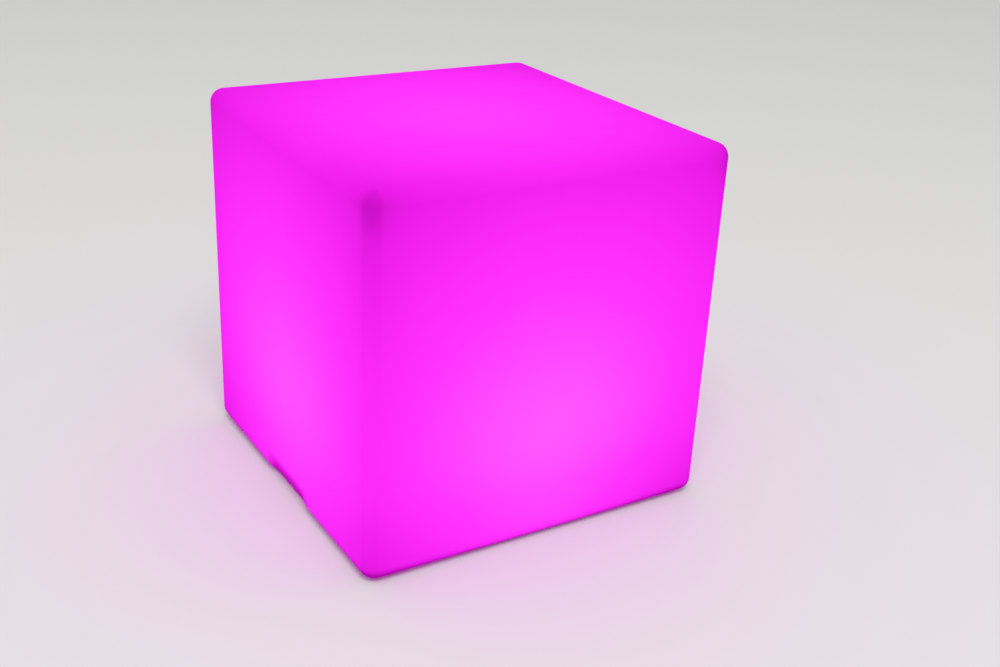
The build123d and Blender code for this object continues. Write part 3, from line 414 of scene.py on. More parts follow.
@dataclass(frozen=True)
class Elastomer(Finish):
    """Moulded rubber or silicone.

    Rubber scatters light broadly, so it looks soft, with a dusty bloom on high spots.
    """

    patch: float = 5.0  # width of a patch of bloom
    mottle: float = 1.2  # width of a lump
    depth: float = 0.03  # of a lump
    handled: float = 4.0  # width of a patch of one sheen

    def material(self) -> Material:
        """Builds the material.

        Returns:
            The material.
        """
        coat = self.start({"Sheen Weight": 0.12, "IOR": 1.45})
        coat.shades(coat.speckle(self.patch, detail=4.0), self.light)
        coat.bump(coat.speckle(self.mottle, detail=3.0), self.depth)
        coat.spread(coat.speckle(self.handled), less=0.05, more=0.05)
        return coat.material


@dataclass(frozen=True)
class BareMetal(Finish):
    """Metal as it left its machine, with that machine's fine lines."""

    process: Process = Process.BRUSHED
    line: float = 0.25  # spacing of the lines, drawn a little coarse so that they show
    depth: float = 0.01  # of a line

    def material(self) -> Material:
        """Builds the material, whose lines are noise stretched along one direction or more.

        Returns:
            The material.
        """
        coat = self.start({"Metallic": 1.0})
        stretch = tuple(share / (self.line * MM) for share in self.process.value)
        scaled = add_node(coat.tree, "ShaderNodeMapping", inputs={"Scale": stretch},
                          links={"Vector": coat.place()})
        lines = add_node(coat.tree, "ShaderNodeTexNoise", inputs={"Scale": 1.0, "Detail": 2.0},
                         links={"Vector": scaled.outputs["Vector"]}).outputs["Fac"]
        coat.shades(lines, self.light)
        coat.spread(lines, less=0.08, more=0.1)
        coat.bump(lines, self.depth)
        return coat.material


@dataclass(frozen=True)
class ClearMoulding(Finish):
    """Clear polycarbonate from a polished mould: glassy, with the faintest ripple from its flow."""

    ripple: float = 9.0  # width of a ripple
    depth: float = 0.02  # of a ripple
    haze: float = 12.0  # width of a patch of haze

    def material(self) -> Material:
        """Builds the material.

        Returns:
            The material.
        """
        coat = self.start({"Transmission Weight": 0.92, "IOR": 1.585})
        coat.bump(coat.speckle(self.ripple), self.depth)
        coat.spread(coat.speckle(self.haze, detail=3.0), less=0.02, more=0.05)
        return coat.material


@dataclass(frozen=True)
class SolderMask(Finish):
    """Glass-fibre board under a glossy printed mask.

    Copper tracks stand a little proud and show lighter through the mask.
    """

    pitch: float = 2.5  # of the tracks
    depth: float = 0.03  # of a track
    handled: float = 3.0  # width of a patch of one sheen

    def material(self) -> Material:
        """Builds the material, whose tracks are the joints of a brick pattern of that pitch.

        Returns:
            The material.
        """
        coat = self.start({"IOR": 1.52})
        tracks = add_node(coat.tree, "ShaderNodeTexBrick",
                          {"offset": 0.5, "squash": 1.4, "squash_frequency": 3},
                          {"Color1": linear(self.shade), "Color2": linear(self.shade),
                           "Mortar": linear(self.light), "Scale": 1 / (self.pitch * MM),
                           "Mortar Size": 0.09, "Mortar Smooth": 0.15, "Brick Width": 2.2,
                           "Row Height": 0.55},
                          {"Vector": coat.place()})
        coat.feed("Base Color", tracks.outputs["Color"])
        coat.bump(tracks.outputs["Fac"], self.depth)
        coat.spread(coat.speckle(self.handled), less=0.04, more=0.06)
        return coat.material


@dataclass(frozen=True)
class LampPackage(Finish):
    """White-framed light-emitting diode under clear silicone, switched on."""

    lit: str = "ff50ff"
    strength: float = 1.5
    patch: float = 1.5  # width of a paler patch
    grain: float = 0.6  # width of a lump in the silicone
    depth: float = 0.02  # of a lump

    def material(self) -> Material:
        """Builds the material.

        Returns:
            The material, which glows evenly.
        """
        coat = self.start({
            "Emission Color": linear(self.lit), "Emission Strength": self.strength})
        coat.shades(coat.speckle(self.patch), self.light)
        coat.bump(coat.speckle(self.grain), self.depth)
        return coat.material


@dataclass(frozen=True)
class WovenStrip(Finish):
    """Polyester strip, plain woven, whose threads catch the light in turn, painted as a paler
    highlight on the weave.
    """

    thread: float = 0.6  # spacing of the threads
    depth: float = 0.08  # of the gaps between them

    def material(self) -> Material:
        """Builds the material, whose weave is two crossing waves of the thread's spacing.

        Returns:
            The material.
        """
        coat = self.start({"Sheen Weight": 0.2})
        values = {"Scale": WAVE_PERIOD / (self.thread * MM), "Distortion": 0.3}
        waves = [add_node(coat.tree, "ShaderNodeTexWave", {"bands_direction": way}, values,
                          {"Vector": coat.place()}) for way in ("X", "Y")]
        weave = add_node(coat.tree, "ShaderNodeMath", {"operation": "MULTIPLY"},
                         links={i: wave.outputs["Fac"] for i, wave in enumerate(waves)})
        # painted highlight: the weave is painted paler where the threads catch the light
        coat.shades(weave.outputs["Value"], self.light)
        coat.bump(weave.outputs["Value"], self.depth)
        return coat.material


# Rotomoulded linear low-density polyethylene, lit: smooth pools of painted light and shade, every edge
# well rounded.
SHELL = GlowingPolyethylene("polyethylene_rotomoulded_lit", "shell_polyethylene", "1c001b", 0.48)
# Turned and knurled brass: warm, with fine rings.
INSERT_BRASS = BareMetal("brass_turned", "brass", "b8913f", 0.32, light="d8b765",
                         process=Process.TURNED)
# Compression-moulded rubber: nearly black, dusty.
FOOT_RUBBER = Elastomer("rubber_moulded_black", "foot_rubber", "161617", 0.82, light="2c2c2d")
# Silicone seal: pale grey, slightly waxy.
SEAL_SILICONE = Elastomer("silicone_moulded_grey", "seal_silicone", "a3a39f", 0.6, light="bdbdb8")
# Injection-moulded acrylonitrile butadiene styrene from a spark-eroded mould: even matt white.
BASE_PLASTIC = MouldedPlastic("abs_moulded_spark_texture", "base_plastic", "d6d6d2", 0.55,
                              light="dddcd8")
# The same plastic from a smoother mould: satin white.
CASE_PLASTIC = MouldedPlastic("abs_moulded_satin", "case_plastic", "dcdcda", 0.4, light="e8e8e6",
                              depth=0.008)
# Cold-headed stainless steel: cool grey, fine rings from the roller.
SCREW_STEEL = BareMetal("stainless_cold_headed", "screw_steel", "a5a7aa", 0.28, light="cfd1d3",
                        process=Process.TURNED, line=0.2)
# Drawn spring wire: darker, with lines along it.
SPRING_STEEL = BareMetal("spring_steel_drawn", "spring_steel", "8d9093", 0.3, light="b4b7ba",
                         process=Process.DRAWN, line=0.15)
# Stamped and brushed aluminium sheet: long pale lines.
SPREADER = BareMetal("aluminium_sheet_brushed", "spreader_aluminium", "b9bbbd", 0.34, light="dcdddf",
                     line=0.3)
# White mask over glass-fibre board: glossy, tracks just visible.
LIGHT_MASK = SolderMask("solder_mask_white", "light_board_mask", "e9e9e6", 0.28, light="d9d9d2")
# Lit diode packages: white frame, magenta window.
EMITTER = LampPackage("led_package_lit", "emitter", "f2dcf2", 0.35, light="fff4ff")
# Black epoxy: glossy, swallows light.
BLACK_EPOXY = MouldedPlastic("epoxy_moulded_black", "receiver_plastic", "0f0f11", 0.3, light="19191b",
                             pits=0.25, depth=0.01)
# Clear polycarbonate: glassy.
CLEAR_DOME = ClearMoulding("polycarbonate_clear_polished", "dome_clear", "f3f3f5", 0.04)
# Shrunk vinyl sleeve: blue and glossy, with slight ripples.
CELL_SLEEVE = MouldedPlastic("pvc_sleeve_shrunk", "cell_sleeve", "2a5b93", 0.28, light="3a6fab",
                             pits=2.2, depth=0.06)
# Black moulded plastic of the battery's cradle.
CRADLE_PLASTIC = MouldedPlastic("abs_moulded_black", "cradle_plastic", "1d1d1e", 0.5, light="29292b")
# Woven polyester strip: straw yellow threads, with a painted paler highlight on the weave.
STRAP = WovenStrip("polyester_strip_woven", "strap_tape", "b39a3c", 0.7, light="dcc66d")
# Green mask over glass-fibre board.
BOARD_MASK = SolderMask("solder_mask_green", "board_mask", "0c5a2c", 0.25, light="1f8145", pitch=1.6)
# Natural nylon: ivory, slightly waxy.
HEADER_NYLON = MouldedPlastic("nylon_moulded_natural", "header_nylon", "dfd9c4", 0.45, light="ebe6d5")
# Satin black plastic of the switch and the inlet.
PANEL_PLASTIC = MouldedPlastic("pbt_moulded_black", "panel_plastic", "171718", 0.42, light="222224")
# Glossy dark plastic of the button.
BUTTON_PLASTIC = MouldedPlastic("abs_moulded_gloss_black", "button_plastic", "262628", 0.22,
                                light="303033", pits=0.6, depth=0.006)
# Black nylon nuts: dull and slightly grainy.
NUT_NYLON = MouldedPlastic("nylon_moulded_black", "panel_nut_nylon", "202021", 0.52, light="2d2d2f")
# Soft silicone of the dust plug.
PLUG_SILICONE = Elastomer("silicone_moulded_black", "plug_silicone", "18181a", 0.7, light="26262a")
# Soft vinyl sleeve of the inner leads.
LEAD_SLEEVE = Elastomer("pvc_sleeve_soft", "lead_sleeve", "232326", 0.5, light="303034", mottle=2.5)


def dress(nodes: dict[str, Finish]) -> None:
    """Gives each CAD node its finish and reports it.

    Args:
        nodes: finish by node name.
    """
    for name, finish in nodes.items():
        made = bpy.data.materials.get(finish.name) or finish.material()
        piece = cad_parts[name]
        piece.data.materials.clear()
        piece.data.materials.append(made)
        log.info("%s finished in %s", name, finish.name)


# ---- the shell
@dataclass(frozen=True)
class InnerLight:
    """How brightly the light board's light shows through the wall, as painted light and shade, fitted
    to the photograph.

    The levels are hundredths of the hottest pool, and the lengths are in millimetres.
    """

    even: float = 46.9  # light that has bounced about inside
    direct: float = 15.8  # light straight from the board, at the cube's width from it
    contrast: float = 1.2  # power to which the direct light is raised
    sideways: float = 0.38  # what the board sends sideways, as a share of what it sends up
    board: Place = (0.0, -18.0, 60.5)  # its front side is the brighter
    # painted shade from here on: what parts of the wall lose of the painted light
    shade_start: float = 0.5  # how far down a wall faces when the direct light begins to fail
    shade_speed: float = 3.0  # and how fast it fails from there
    edge_loss: float = 8.9  # lost at an edge between two faces
    edge_reach: float = 74.0  # distance over which that loss falls to a third
    base_loss: float = 23.5  # lost at the underside's height
    base_reach: float = 62.0
    height_loss: float = 11.0  # lost over a height of the cube's width
    turn_speed: float = 2.0  # how fast the losses of rounded edges come in with the turn
    upright_loss: float = 4.6  # thicker wall in the upright edges
    upright_start: float = 0.34  # sine of the turn at which that loss is full
    level_loss: float = 1.4  # the same in the level edges
    corner_loss: float = 5.0  # in the top's corners
    corner_size: float = 18.0
    corner_drop: float = 19.0  # below the top
    under_loss: float = 34.0  # painted shadow on the underside, behind the module
    least: float = 13.0  # what bounces on to the darkest parts, such as the underside
    recess_zone: float = 30.0  # the painted shade band over the recess: how far from the face it may reach
    recess_middle: float = -6.0  # the middle of its length
    recess_level: float = 39.0  # half length over which it is at full depth
    recess_end: float = 57.0  # half length over all
    recess_fade: float = 10.0  # length over which it ends
    recess_round: float = 0.04  # how fast it rises past its level length, per millimetre squared
    recess_start: float = 6.0  # height at which it starts to brighten
    recess_low: float = 13.5  # its level up to there
    recess_climb: float = 0.55  # level won in the first millimetre above
    recess_curve: float = 0.042  # level won per millimetre squared

    def level(self, points: Array, normals: Array, width: float, low: float, high: float) -> Array:
        """The painted light level at each point of the skin.

        Direct light is what the board sends that way (from its sideways share up to 1 straight up)
        times the cosine at the wall, over the squared distance. From the even light, some is lost
        near each edge of a face, falling off exponentially, more near the base, and some with
        height. Rounded edges and the top's corners lose a little more. The underside loses most, for
        the module stands between it and the board. Over the recess the level climbs as a parabola
        from the bottom, sooner towards its ends.

        Args:
            points: places in millimetres.
            normals: unit normals.
            width: the cube's width.
            low: height of the underside.
            high: height of the top.

        Returns:
            One value to a point, 0 to 1.
        """
        ray = (points - np.array(self.board)) / width
        distance = np.linalg.norm(ray, axis=1)
        ray = ray / distance[:, None]
        down = np.clip(-normals[:, 2], 0, 1)
        sent = self.sideways + (1 - self.sideways) * np.clip(ray[:, 2], 0, None)
        sent = sent * (1 - eased((down - self.shade_start) * self.shade_speed))
        straight = sent * np.clip((ray * normals).sum(1), 0, None) / distance ** 2
        side, end = (width / 2 - np.abs(points[:, :2])).T
        drop, rise = high - points[:, 2], np.clip(points[:, 2] - low, 0, None)
        near = [np.exp(-np.clip(d, 0, None) / self.edge_reach) for d in (side, end, drop)]
        edges = sum(near) - np.maximum.reduce(near)
        level = (self.even + self.direct * straight ** self.contrast - self.edge_loss * edges
                 - self.base_loss * np.exp(-rise / self.base_reach) - self.height_loss * rise / width)
        turned = np.abs(normals[:, :2]).min(1)
        flat = np.hypot(normals[:, 0], normals[:, 1])
        upright = eased(turned / self.upright_start) * eased(self.turn_speed * flat)
        rounded = eased(self.turn_speed * np.minimum(np.clip(normals[:, 2], 0, 1), flat))
        level = level - self.upright_loss * upright - self.level_loss * rounded
        away = np.sqrt(side ** 2 + end ** 2 + (drop - self.corner_drop) ** 2)
        level = level - self.corner_loss * np.exp(-(away / self.corner_size) ** 2)
        level = np.maximum(level - self.under_loss * down, self.least)
        across = np.abs(points[:, 1] - self.recess_middle)
        aside = np.clip(across - self.recess_level, 0, None)
        over = np.clip(points[:, 2] - self.recess_start, 0, None) + self.recess_round * aside ** 2
        dim = self.recess_low + self.recess_climb * over + self.recess_curve * over ** 2
        beside = eased((self.recess_end - across) / self.recess_fade)
        beside = beside * (points[:, 0] < self.recess_zone - width / 2)
        level = level - np.clip(level - dim, 0, None) * beside
        return np.clip(level / 100, 0, 1)


@dataclass
class MouldedShell:
    """The hollow cube in one skin, with its pocket, its finger recess, feet and threaded inserts."""

    width: float = 400.0
    low: float = 1.5
    high: float = 396.0
    wall: float = 4.0
    upright_radius: float = 16.0
    level_radius: float = 15.0
    bow: float = 0.7  # how far cooling leaves the middle of a face standing out
    pocket_radius: float = 95.08
    seat_radius: float = 66.08  # of the opening in the pocket's ceiling
    pocket_depth: float = 20.0
    mouth_radius: float = 3.0
    ceiling_radius: float = 4.0
    recess_zone: float = 30.0  # how far from the face the recess may reach
    recess_radius: float = 35.0
    recess_axis_out: float = 29.185  # outside the face
    recess_axis_up: float = 4.68  # above the underside
    recess_half: float = 28.68  # from the middle to the centre of a round end
    recess_lip: float = 6.0
    channel_width: float = 12.0
    channel_height: float = 6.0
    channel_corner: float = 3.0
    channel_start: float = 7.5  # from the face to the wall over the channel
    well_radius: float = 10.3
    well_depth: float = 3.0
    foot_place: float = 150.0
    boss_count: int = 6
    boss_start: float = 30.0  # degrees
    boss_radius: float = 8.0
    boss_top: float = 35.5
    boss_circle: float = 81.08
    hole_radius: float = 4.05
    hole_top: float = 31.5
    past: float = 1.0  # how far a cutter or an added wall runs past a face
    near_recess: float = 54.0  # half length beside which a ring's points are close
    near_points: int = 46  # points over that length
    far_points: int = 17  # points from there to a corner
    side_points: int = 46  # points along every other side
    corner_steps: int = 10
    fine_below: float = 50.0  # height below which the rings are close
    sharp_angle: float = 38.0  # degrees between faces that meet in a sharp edge
    light: InnerLight = InnerLight()

    @property
    def straight(self) -> float:
        """Half the length of a side's straight part."""
        return self.width / 2 - self.upright_radius

    def around(self) -> tuple[Array, Array]:
        """Places of the points round a ring of rounded-square shape.

        A ring is (half - corner) * along + corner * outward. On a straight side, along slides from
        corner to corner and outward stays square to the side. In a corner, along stays put and
        outward turns through a quarter circle.

        Returns:
            Two arrays of x and y, along and outward.
        """
        near = self.near_recess / self.straight
        close = np.linspace(-near, near, self.near_points)
        far = np.linspace(1, near, self.far_points, endpoint=False)
        beside_recess = np.concatenate([-far, close, far[:0:-1]])
        plain = np.linspace(-1, 1, self.side_points, endpoint=False)
        turn = np.linspace(0, np.pi / 2, self.corner_steps, endpoint=False)
        along, outward = [], []
        for side in range(4):
            way = side * np.pi / 2
            slide = beside_recess if side == 2 else plain
            c, s = np.cos(way), np.sin(way)
            along.append(np.stack([c - s * slide, s + c * slide], -1))
            outward.append(np.tile([c, s], (len(slide), 1)))
            along.append(np.tile([c - s, s + c], (len(turn), 1)))
            outward.append(np.stack([np.cos(way + turn), np.sin(way + turn)], -1))
        return np.concatenate(along), np.concatenate(outward)

    def stations(self) -> Array:
        """The profile from the top's middle down the outside, into the pocket and back up the inside.

        Straight runs are evenly spaced, and each rounded edge is a quarter circle.

        Returns:
            One row to a ring: half width, corner radius, circle radius, share of the circle, height,
            and 1 where the ring is on the inside of the wall.
        """
        half, up, level, wall = self.width / 2, self.upright_radius, self.level_radius, self.wall
        low, high, fine = self.low, self.high, self.fine_below
        flat, tip, inner = half - level, up - level, level - wall
        pocket, mouth, corner = self.pocket_radius, self.mouth_radius, self.ceiling_radius
        seat, ceiling, floor = self.seat_radius, low + self.pocket_depth, low + wall

        def rows(*values: float | Array) -> Array:
            """Rows of one stretch, each value a number or an array with one for each row."""
            return np.stack(np.broadcast_arrays(*values), -1).astype(float)

        def run(start: float, end: float, count: int) -> Array:
            """Even steps without the start."""
            return np.linspace(start, end, count + 1)[1:]

        def turn(count: int) -> tuple[Array, Array]:
            """Sine and cosine over a quarter circle, without its start."""
            angle = run(0, np.pi / 2, count)
            return np.sin(angle), np.cos(angle)

        out, back = run(0, 1, 24), run(1, 0, 12)[:-1]
        (st, ct), (sb, cb), (sm, cm) = turn(12), turn(16), turn(5)
        si, ci = turn(6)
        return np.concatenate([
            rows(flat * out, tip * out, 0, 0, high, 0),  # the top
            rows(flat + level * st, tip + level * st, 0, 0, high - level * (1 - ct), 0),
            rows(half, up, 0, 0, run(high - level, fine, 42), 0),  # the sides
            rows(half, up, 0, 0, run(fine, low + level, 24), 0),
            rows(flat + level * cb, tip + level * cb, 0, 0, low + level * (1 - sb), 0),
            rows(flat, tip, pocket + mouth, run(0, 1, 12), low, 0),  # the underside
            rows(0, 0, pocket + mouth * (1 - sm), 1, low + mouth * (1 - cm), 0),  # the pocket
            rows(0, 0, pocket, 1, run(low + mouth, ceiling - corner, 3), 0),
            rows(0, 0, pocket - corner * (1 - ci), 1, ceiling - corner * (1 - si), 0),
            rows(0, 0, run(pocket - corner, seat, 4), 1, ceiling, 0),
            rows(0, 0, seat, 1, run(ceiling, ceiling + wall, 2), 1),  # through the opening
            rows(0, 0, run(seat, pocket - corner, 4), 1, ceiling + wall, 1),
            rows(0, 0, pocket - corner + (corner + wall) * si, 1,
                 ceiling + wall - (corner + wall) * (1 - ci), 1),
            rows(0, 0, pocket + wall, 1, run(ceiling - corner, floor, 3), 1),
            rows(flat, tip, pocket + wall, 1 - run(0, 1, 10), floor, 1),  # the inside of the base
            rows(flat + inner * si, tip + inner * si, 0, 0, floor + inner * (1 - ci), 1),
            rows(half - wall, up - wall, 0, 0, run(low + level, fine, 10), 1),  # inside of the sides
            rows(half - wall, up - wall, 0, 0, run(fine, high - level, 20), 1),
            rows(flat + inner * ci, tip + inner * ci, 0, 0, high - wall - inner * (1 - si), 1),
            rows(flat * back, tip * back, 0, 0, high - wall, 1),  # the inside of the top
        ])

    def recess_depth(self, across: Array, height: Array, grow: Array) -> Array:
        """How far inside the -X face the recess's own surface lies.

        It is a round bar with ball ends whose axis is outside the face: the axis's place plus the
        square root of the bar's radius squared less the squared distance from the axis.

        Args:
            across: y in millimetres.
            height: z in millimetres.
            grow: added to the radius, for the side of the wall that faces in.

        Returns:
            Millimetres inside the face, negative outside it.
        """
        past = np.clip(np.abs(across) - self.recess_half, 0, None)
        rise = height - self.low - self.recess_axis_up
        left = (self.recess_radius + grow) ** 2 - rise ** 2 - past ** 2
        return np.sqrt(np.clip(left, 0, None)) - self.recess_axis_out

    def skin(self) -> tuple[Array, list[Array]]:
        """The closed surface: rings of the profile, bowed by cooling and dented by the recess.

        The bow is the product of two parabolas across a face. The recess is the larger of face and
        bar, with the kink between them rounded off by a parabola as wide as the lip.

        Returns:
            Points in metres, and faces.
        """
        along, outward = self.around()
        half, corner, circle, share, height, inside = self.stations().T[:, :, None]
        heading = along * self.straight + outward * self.upright_radius
        heading = heading / np.linalg.norm(heading, axis=1, keepdims=True)
        x, y = [(1 - share) * ((half - corner) * along[:, k] + corner * outward[:, k])
                + share * circle * heading[:, k] for k in (0, 1)]
        z = np.broadcast_to(height, x.shape).copy()
        middle, reach = (self.low + self.high) / 2, (self.high - self.low) / 2 - self.level_radius
        tall = np.clip(1 - ((z - middle) / reach) ** 2, 0, None)
        wide = np.clip(1 - (np.minimum(np.abs(x), np.abs(y)) / self.straight) ** 2, 0, None)
        on_wall = (half > self.width / 2 - self.wall - SLACK) & (share == 0)
        bowed = self.bow * tall * wide * on_wall
        x, y = x + bowed * outward[:, 0], y + bowed * outward[:, 1]
        flat = self.width / 2 - self.level_radius
        dome = np.clip(1 - (x / flat) ** 2, 0, None) * np.clip(1 - (y / flat) ** 2, 0, None)
        z = z + self.bow * dome * (z > middle + reach)
        face = x + self.width / 2
        bar = self.recess_depth(y, z, self.wall * inside)
        blend = np.clip(self.recess_lip - np.abs(face - bar), 0, None) ** 2 / (4 * self.recess_lip)
        x = np.where(face < self.recess_zone, np.maximum(face, bar) + blend - self.width / 2, x)
        rings, count = x.shape
        points = np.stack([x, y, z], -1).reshape(-1, 3)
        poles = np.array([[0, 0, self.high + self.bow], [0, 0, self.high - self.wall + self.bow]])
        points = np.concatenate([points, poles]) * MM
        last = rings * count
        under = fan(last + 1, last - count, count)[:, [0, 2, 1]]
        return points, [grid_faces(rings, count), fan(last, 0, count), under]

    def fit_out(self, skin: Piece) -> None:
        """Adds the walls over wells, channel and screws, then cuts the wells, channel and holes.

        Args:
            skin: the closed skin.
        """
        place, wall, past = self.foot_place, self.wall, self.past
        feet = [(x, y) for x in (-place, place) for y in (-place, place)]
        angles = np.radians(self.boss_start + 360 / self.boss_count * np.arange(self.boss_count))
        screws = [(self.boss_circle * np.cos(a), self.boss_circle * np.sin(a)) for a in angles]
        well, tunnel = self.low + self.well_depth, self.low + self.channel_height
        in_wall, ceiling = self.low + 0.6 * wall, self.low + self.pocket_depth
        added = [(round_outline(self.well_radius + wall, *spot), in_wall - past, well + wall, 2)
                 for spot in feet]
        added += [(round_outline(self.boss_radius, *spot), ceiling + past / 2, self.boss_top, 2)
                  for spot in screws]
        roof = tunnel_outline(self.channel_width + 2 * wall, in_wall, tunnel + wall,
                              self.channel_corner + wall)
        added.append((roof, self.channel_start - self.width / 2, -self.pocket_radius - wall / 2, 0))
        carve(skin, prisms("added_walls", added), "UNION")
        cut = [(round_outline(self.well_radius, *spot), -past, well, 2) for spot in feet]
        cut += [(round_outline(self.hole_radius, *spot), ceiling - past, self.hole_top, 2)
                for spot in screws]
        bore = tunnel_outline(self.channel_width, -past, tunnel, self.channel_corner)
        cut.append((bore, -self.width / 2 - 2 * past, -self.pocket_radius / 2, 0))
        carve(skin, prisms("cut_spaces", cut), "DIFFERENCE")
        skin.data.polygons.foreach_set("use_smooth", np.full(len(skin.data.polygons), True))
        skin.data.set_sharp_from_angle(angle=float(np.radians(self.sharp_angle)))

    def build(self) -> None:
        """Makes the skin, paints its light and shade and dresses what is moulded or pressed into it.
        """
        points, faces = self.skin()
        skin = mesh_piece("shell_skin", points, faces)
        self.fit_out(skin)
        places, normals = np.empty((2, len(skin.data.vertices), 3), np.float32)
        skin.data.vertices.foreach_get("co", places.ravel())
        skin.data.vertices.foreach_get("normal", normals.ravel())
        # painted light and shade, kept as the attribute glow
        glow = self.light.level(places / MM, normals, self.width, self.low, self.high)
        kept = skin.data.attributes.new("glow", "FLOAT", "POINT").data
        kept.foreach_set("value", glow.astype(np.float32))
        skin.data.materials.append(SHELL.material())
        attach(skin, "module_and_shell")
        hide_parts("diffuser_shell")
        log.info("shell_skin: %d points", len(skin.data.vertices))
        dress({"diffuser_shell": SHELL, "threaded_inserts": INSERT_BRASS,
               "rubber_feet": FOOT_RUBBER})


# ---- the light module
@dataclass
class DressedGroup:
    """A sub-assembly whose pieces all keep their CAD shapes, each in its own finish."""

    finishes: dict[str, Finish]

    def build(self) -> None:
        """Dresses the pieces."""
        dress(self.finishes)


@dataclass
class ClosingBase(DressedGroup):
    """The screwed base plate with its gasket."""

    finishes: dict[str, Finish] = field(default_factory=lambda: {
        "base_plate": BASE_PLASTIC, "base_gasket": SEAL_SILICONE, "base_screws": SCREW_STEEL})


@dataclass
class DriverCase(DressedGroup):
    """The sealed case with the heat spreader, the light board and the clear dome on top."""

    finishes: dict[str, Finish] = field(default_factory=lambda: {
        "driver_housing": CASE_PLASTIC, "housing_gasket": SEAL_SILICONE, "housing_screws": SCREW_STEEL,
        "heat_spreader": SPREADER, "led_board": LIGHT_MASK, "led_packages": EMITTER,
        "remote_receiver": BLACK_EPOXY, "light_screws": SCREW_STEEL, "dome_gasket": SEAL_SILICONE,
        "light_dome": CLEAR_DOME, "dome_screws": SCREW_STEEL})


@dataclass
class BatteryPack(DressedGroup):
    """Two cells in a cradle, under a strap."""

    finishes: dict[str, Finish] = field(default_factory=lambda: {
        "battery_cells": CELL_SLEEVE, "battery_cradle": CRADLE_PLASTIC, "battery_strap": STRAP,
        "cradle_screws": SCREW_STEEL})


@dataclass
class ControlBoard(DressedGroup):
    """The driver board with its chips, connectors and leads."""

    finishes: dict[str, Finish] = field(default_factory=lambda: {
        "control_board": BOARD_MASK, "control_chips": BLACK_EPOXY, "board_connectors": HEADER_NYLON,
        "board_screws": SCREW_STEEL, "switch_lead": LEAD_SLEEVE, "inlet_lead": LEAD_SLEEVE,
        "battery_lead": LEAD_SLEEVE, "light_lead": LEAD_SLEEVE})


@dataclass
class PushButton:
    """The switch body, the button that moves in it and the spring under the button."""

    x: float = 15.0
    y: float = -27.0
    wire: float = 0.35  # radius
    coil: float = 3.4  # radius of the coil's middle line
    turns: int = 6
    closed: float = 0.12  # share of the wire that is wound flat at either end
    rounding: float = 0.35  # share of the climb that eases in and out
    travel: float = 1.5
    steps_round: int = 12
    steps_turn: int = 36

    def spring(self) -> None:
        """The spring, coiled from wire between the button's lip and the closed end.

        A point of the wire's middle is (R cos t, R sin t, z), where z rests at either end and climbs
        between them. The wire is a circle in the plane of the axis and the radius.
        """
        low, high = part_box("button_spring")
        bottom, top = low.z / MM + self.wire, high.z / MM - self.wire
        t = np.linspace(0, 1, self.turns * self.steps_turn)
        climb = np.clip((t - self.closed) / (1 - 2 * self.closed), 0, 1)
        climb = self.rounding * eased(climb) + (1 - self.rounding) * climb
        angle = 2 * np.pi * self.turns * t
        rim = np.linspace(0, 2 * np.pi, self.steps_round, endpoint=False)
        radius = self.coil + self.wire * np.cos(rim)[None, :]
        x = self.x + radius * np.cos(angle)[:, None]
        y = self.y + radius * np.sin(angle)[:, None]
        rise = bottom + (top - bottom) * climb
        z = rise[:, None] + self.wire * np.sin(rim)[None, :]
        points = np.stack([x, y, z], -1).reshape(-1, 3) * MM
        last = len(points) - self.steps_round
        ends = [np.arange(self.steps_round)[None, ::-1], last + np.arange(self.steps_round)[None, :]]
        piece = mesh_piece("spring_coil", points, [grid_faces(len(t), self.steps_round)] + ends)
        piece.data.materials.append(SPRING_STEEL.material())
        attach(piece, "module_and_shell")
        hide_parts("button_spring")
        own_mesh(piece)
        log.info("spring_coil: %d turns", self.turns)

    def build(self) -> None:
        """Makes the spring and dresses the rest."""
        dress({"switch_body": PANEL_PLASTIC, "power_button": BUTTON_PLASTIC,
               "panel_seals": SEAL_SILICONE, "panel_nuts": NUT_NYLON, "button_spring": SPRING_STEEL})
        self.spring()


@dataclass
class ChargingInlet(DressedGroup):
    """The charging inlet with its pin, its tethered dust plug and the charge indicator."""

    finishes: dict[str, Finish] = field(default_factory=lambda: {
        "charging_jack": PANEL_PLASTIC, "jack_pin": INSERT_BRASS, "port_plug": PLUG_SILICONE,
        "plug_anchor": PLUG_SILICONE, "charge_indicator": CLEAR_DOME})


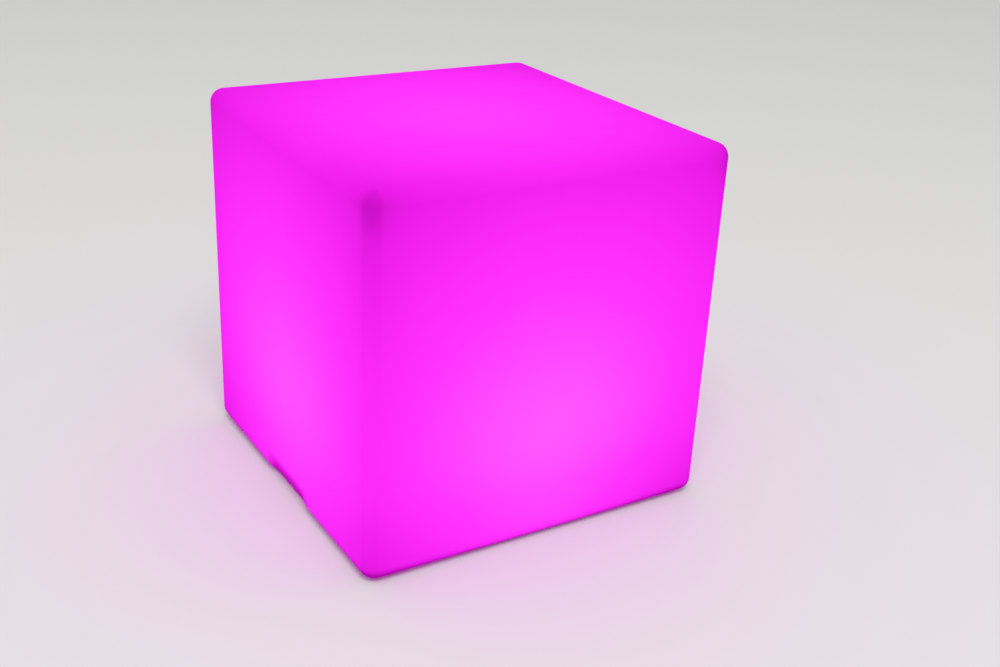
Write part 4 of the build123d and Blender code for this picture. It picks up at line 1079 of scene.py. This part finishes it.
# ---- the studio
@dataclass
class Studio:
    """A plain pale floor, soft light and the camera at the photograph's angle."""

    floor_radius: float = 14000.0
    floor_shade: str = "d8d8d6"
    sky_shade: str = "e2e2e2"
    sky_strength: float = 0.95
    lamp_size: float = 3000.0
    lamp_place: Place = (-1500.0, -3000.0, 5000.0)
    lamp_aim: Place = (0.0, 0.0, 200.0)
    lamp_energy: float = 175.0  # watts
    place: Place = (-649.7, -1130.5, 736.5)
    yaw: float = 0.562050655  # radians, as are the next two
    pitch: float = 0.42207128
    roll: float = 0.050614997
    lens: float = 46.555

    def floor(self) -> None:
        """A flat round floor: rings whose radius grows as the square of their number."""
        rings, count = 40, 96
        radius = self.floor_radius * (np.arange(1, rings + 1) / rings) ** 2
        angle = np.linspace(0, 2 * np.pi, count, endpoint=False)
        x, y = radius[:, None] * np.cos(angle), radius[:, None] * np.sin(angle)
        points = np.concatenate([np.stack([x, y, 0 * x], -1).reshape(-1, 3), [[0, 0, 0]]]) * MM
        piece = mesh_piece("floor", points, [grid_faces(rings, count), fan(rings * count, 0, count)])
        paint = Finish("floor_painted_pale", "", self.floor_shade, roughness=0.9)
        piece.data.materials.append(paint.start({"Specular IOR Level": 0.1}).material)

    def lights(self) -> None:
        """An even pale sky and one large soft lamp above and to the left."""
        world = bpy.data.worlds.new("sky")
        world.use_nodes = True
        sky = world.node_tree.nodes["Background"]
        sky.inputs["Color"].default_value = linear(self.sky_shade)
        sky.inputs["Strength"].default_value = self.sky_strength
        bpy.context.scene.world = world
        lamp = bpy.data.lights.new("softbox", "AREA")
        lamp.shape, lamp.size, lamp.energy = "DISK", self.lamp_size * MM, self.lamp_energy
        holder = bpy.data.objects.new("softbox", lamp)
        holder.location = np.array(self.lamp_place) * MM
        aim = np.array(self.lamp_aim) * MM - np.array(holder.location)
        holder.rotation_euler = (float(np.arctan2(np.hypot(aim[0], aim[1]), -aim[2])), 0.0,
                                 float(np.arctan2(-aim[0], aim[1])))
        bpy.context.scene.collection.objects.link(holder)

    def camera(self) -> None:
        """The camera. Its axes are the view direction, then right and up turned by the roll."""
        cy, sy, cp, sp = np.cos(self.yaw), np.sin(self.yaw), np.cos(self.pitch), np.sin(self.pitch)
        ahead = np.array([cp * sy, cp * cy, -sp])
        right = np.array([cy, -sy, 0.0])
        up = np.cross(right, ahead)
        cr, sr = np.cos(self.roll), np.sin(self.roll)
        right, up = cr * right + sr * up, -sr * right + cr * up
        data = bpy.data.cameras.new("camera")
        data.lens, data.sensor_width, data.clip_start, data.clip_end = self.lens, 36.0, 0.05, 100.0
        holder = bpy.data.objects.new("camera", data)
        grid = np.eye(4)
        grid[:3, :3] = np.stack([right, up, -ahead], 1)
        grid[:3, 3] = np.array(self.place) * MM
        holder.matrix_world = Matrix(grid.tolist())
        bpy.context.scene.collection.objects.link(holder)
        bpy.context.scene.camera = holder

    def build(self) -> None:
        """Makes the floor, the lights and the camera."""
        bpy.context.scene.view_settings.view_transform = "Standard"
        self.camera()
        self.lights()
        self.floor()


def main() -> None:
    """Builds the studio and each sub-assembly in turn."""
    logging.basicConfig(level=logging.INFO, format="%(message)s")
    for part in (Studio(), MouldedShell(), ClosingBase(), DriverCase(), BatteryPack(), ControlBoard(),
                 PushButton(), ChargingInlet()):
        part.build()
        log.info("built %s", type(part).__name__)


if __name__ == "__main__":
    main()
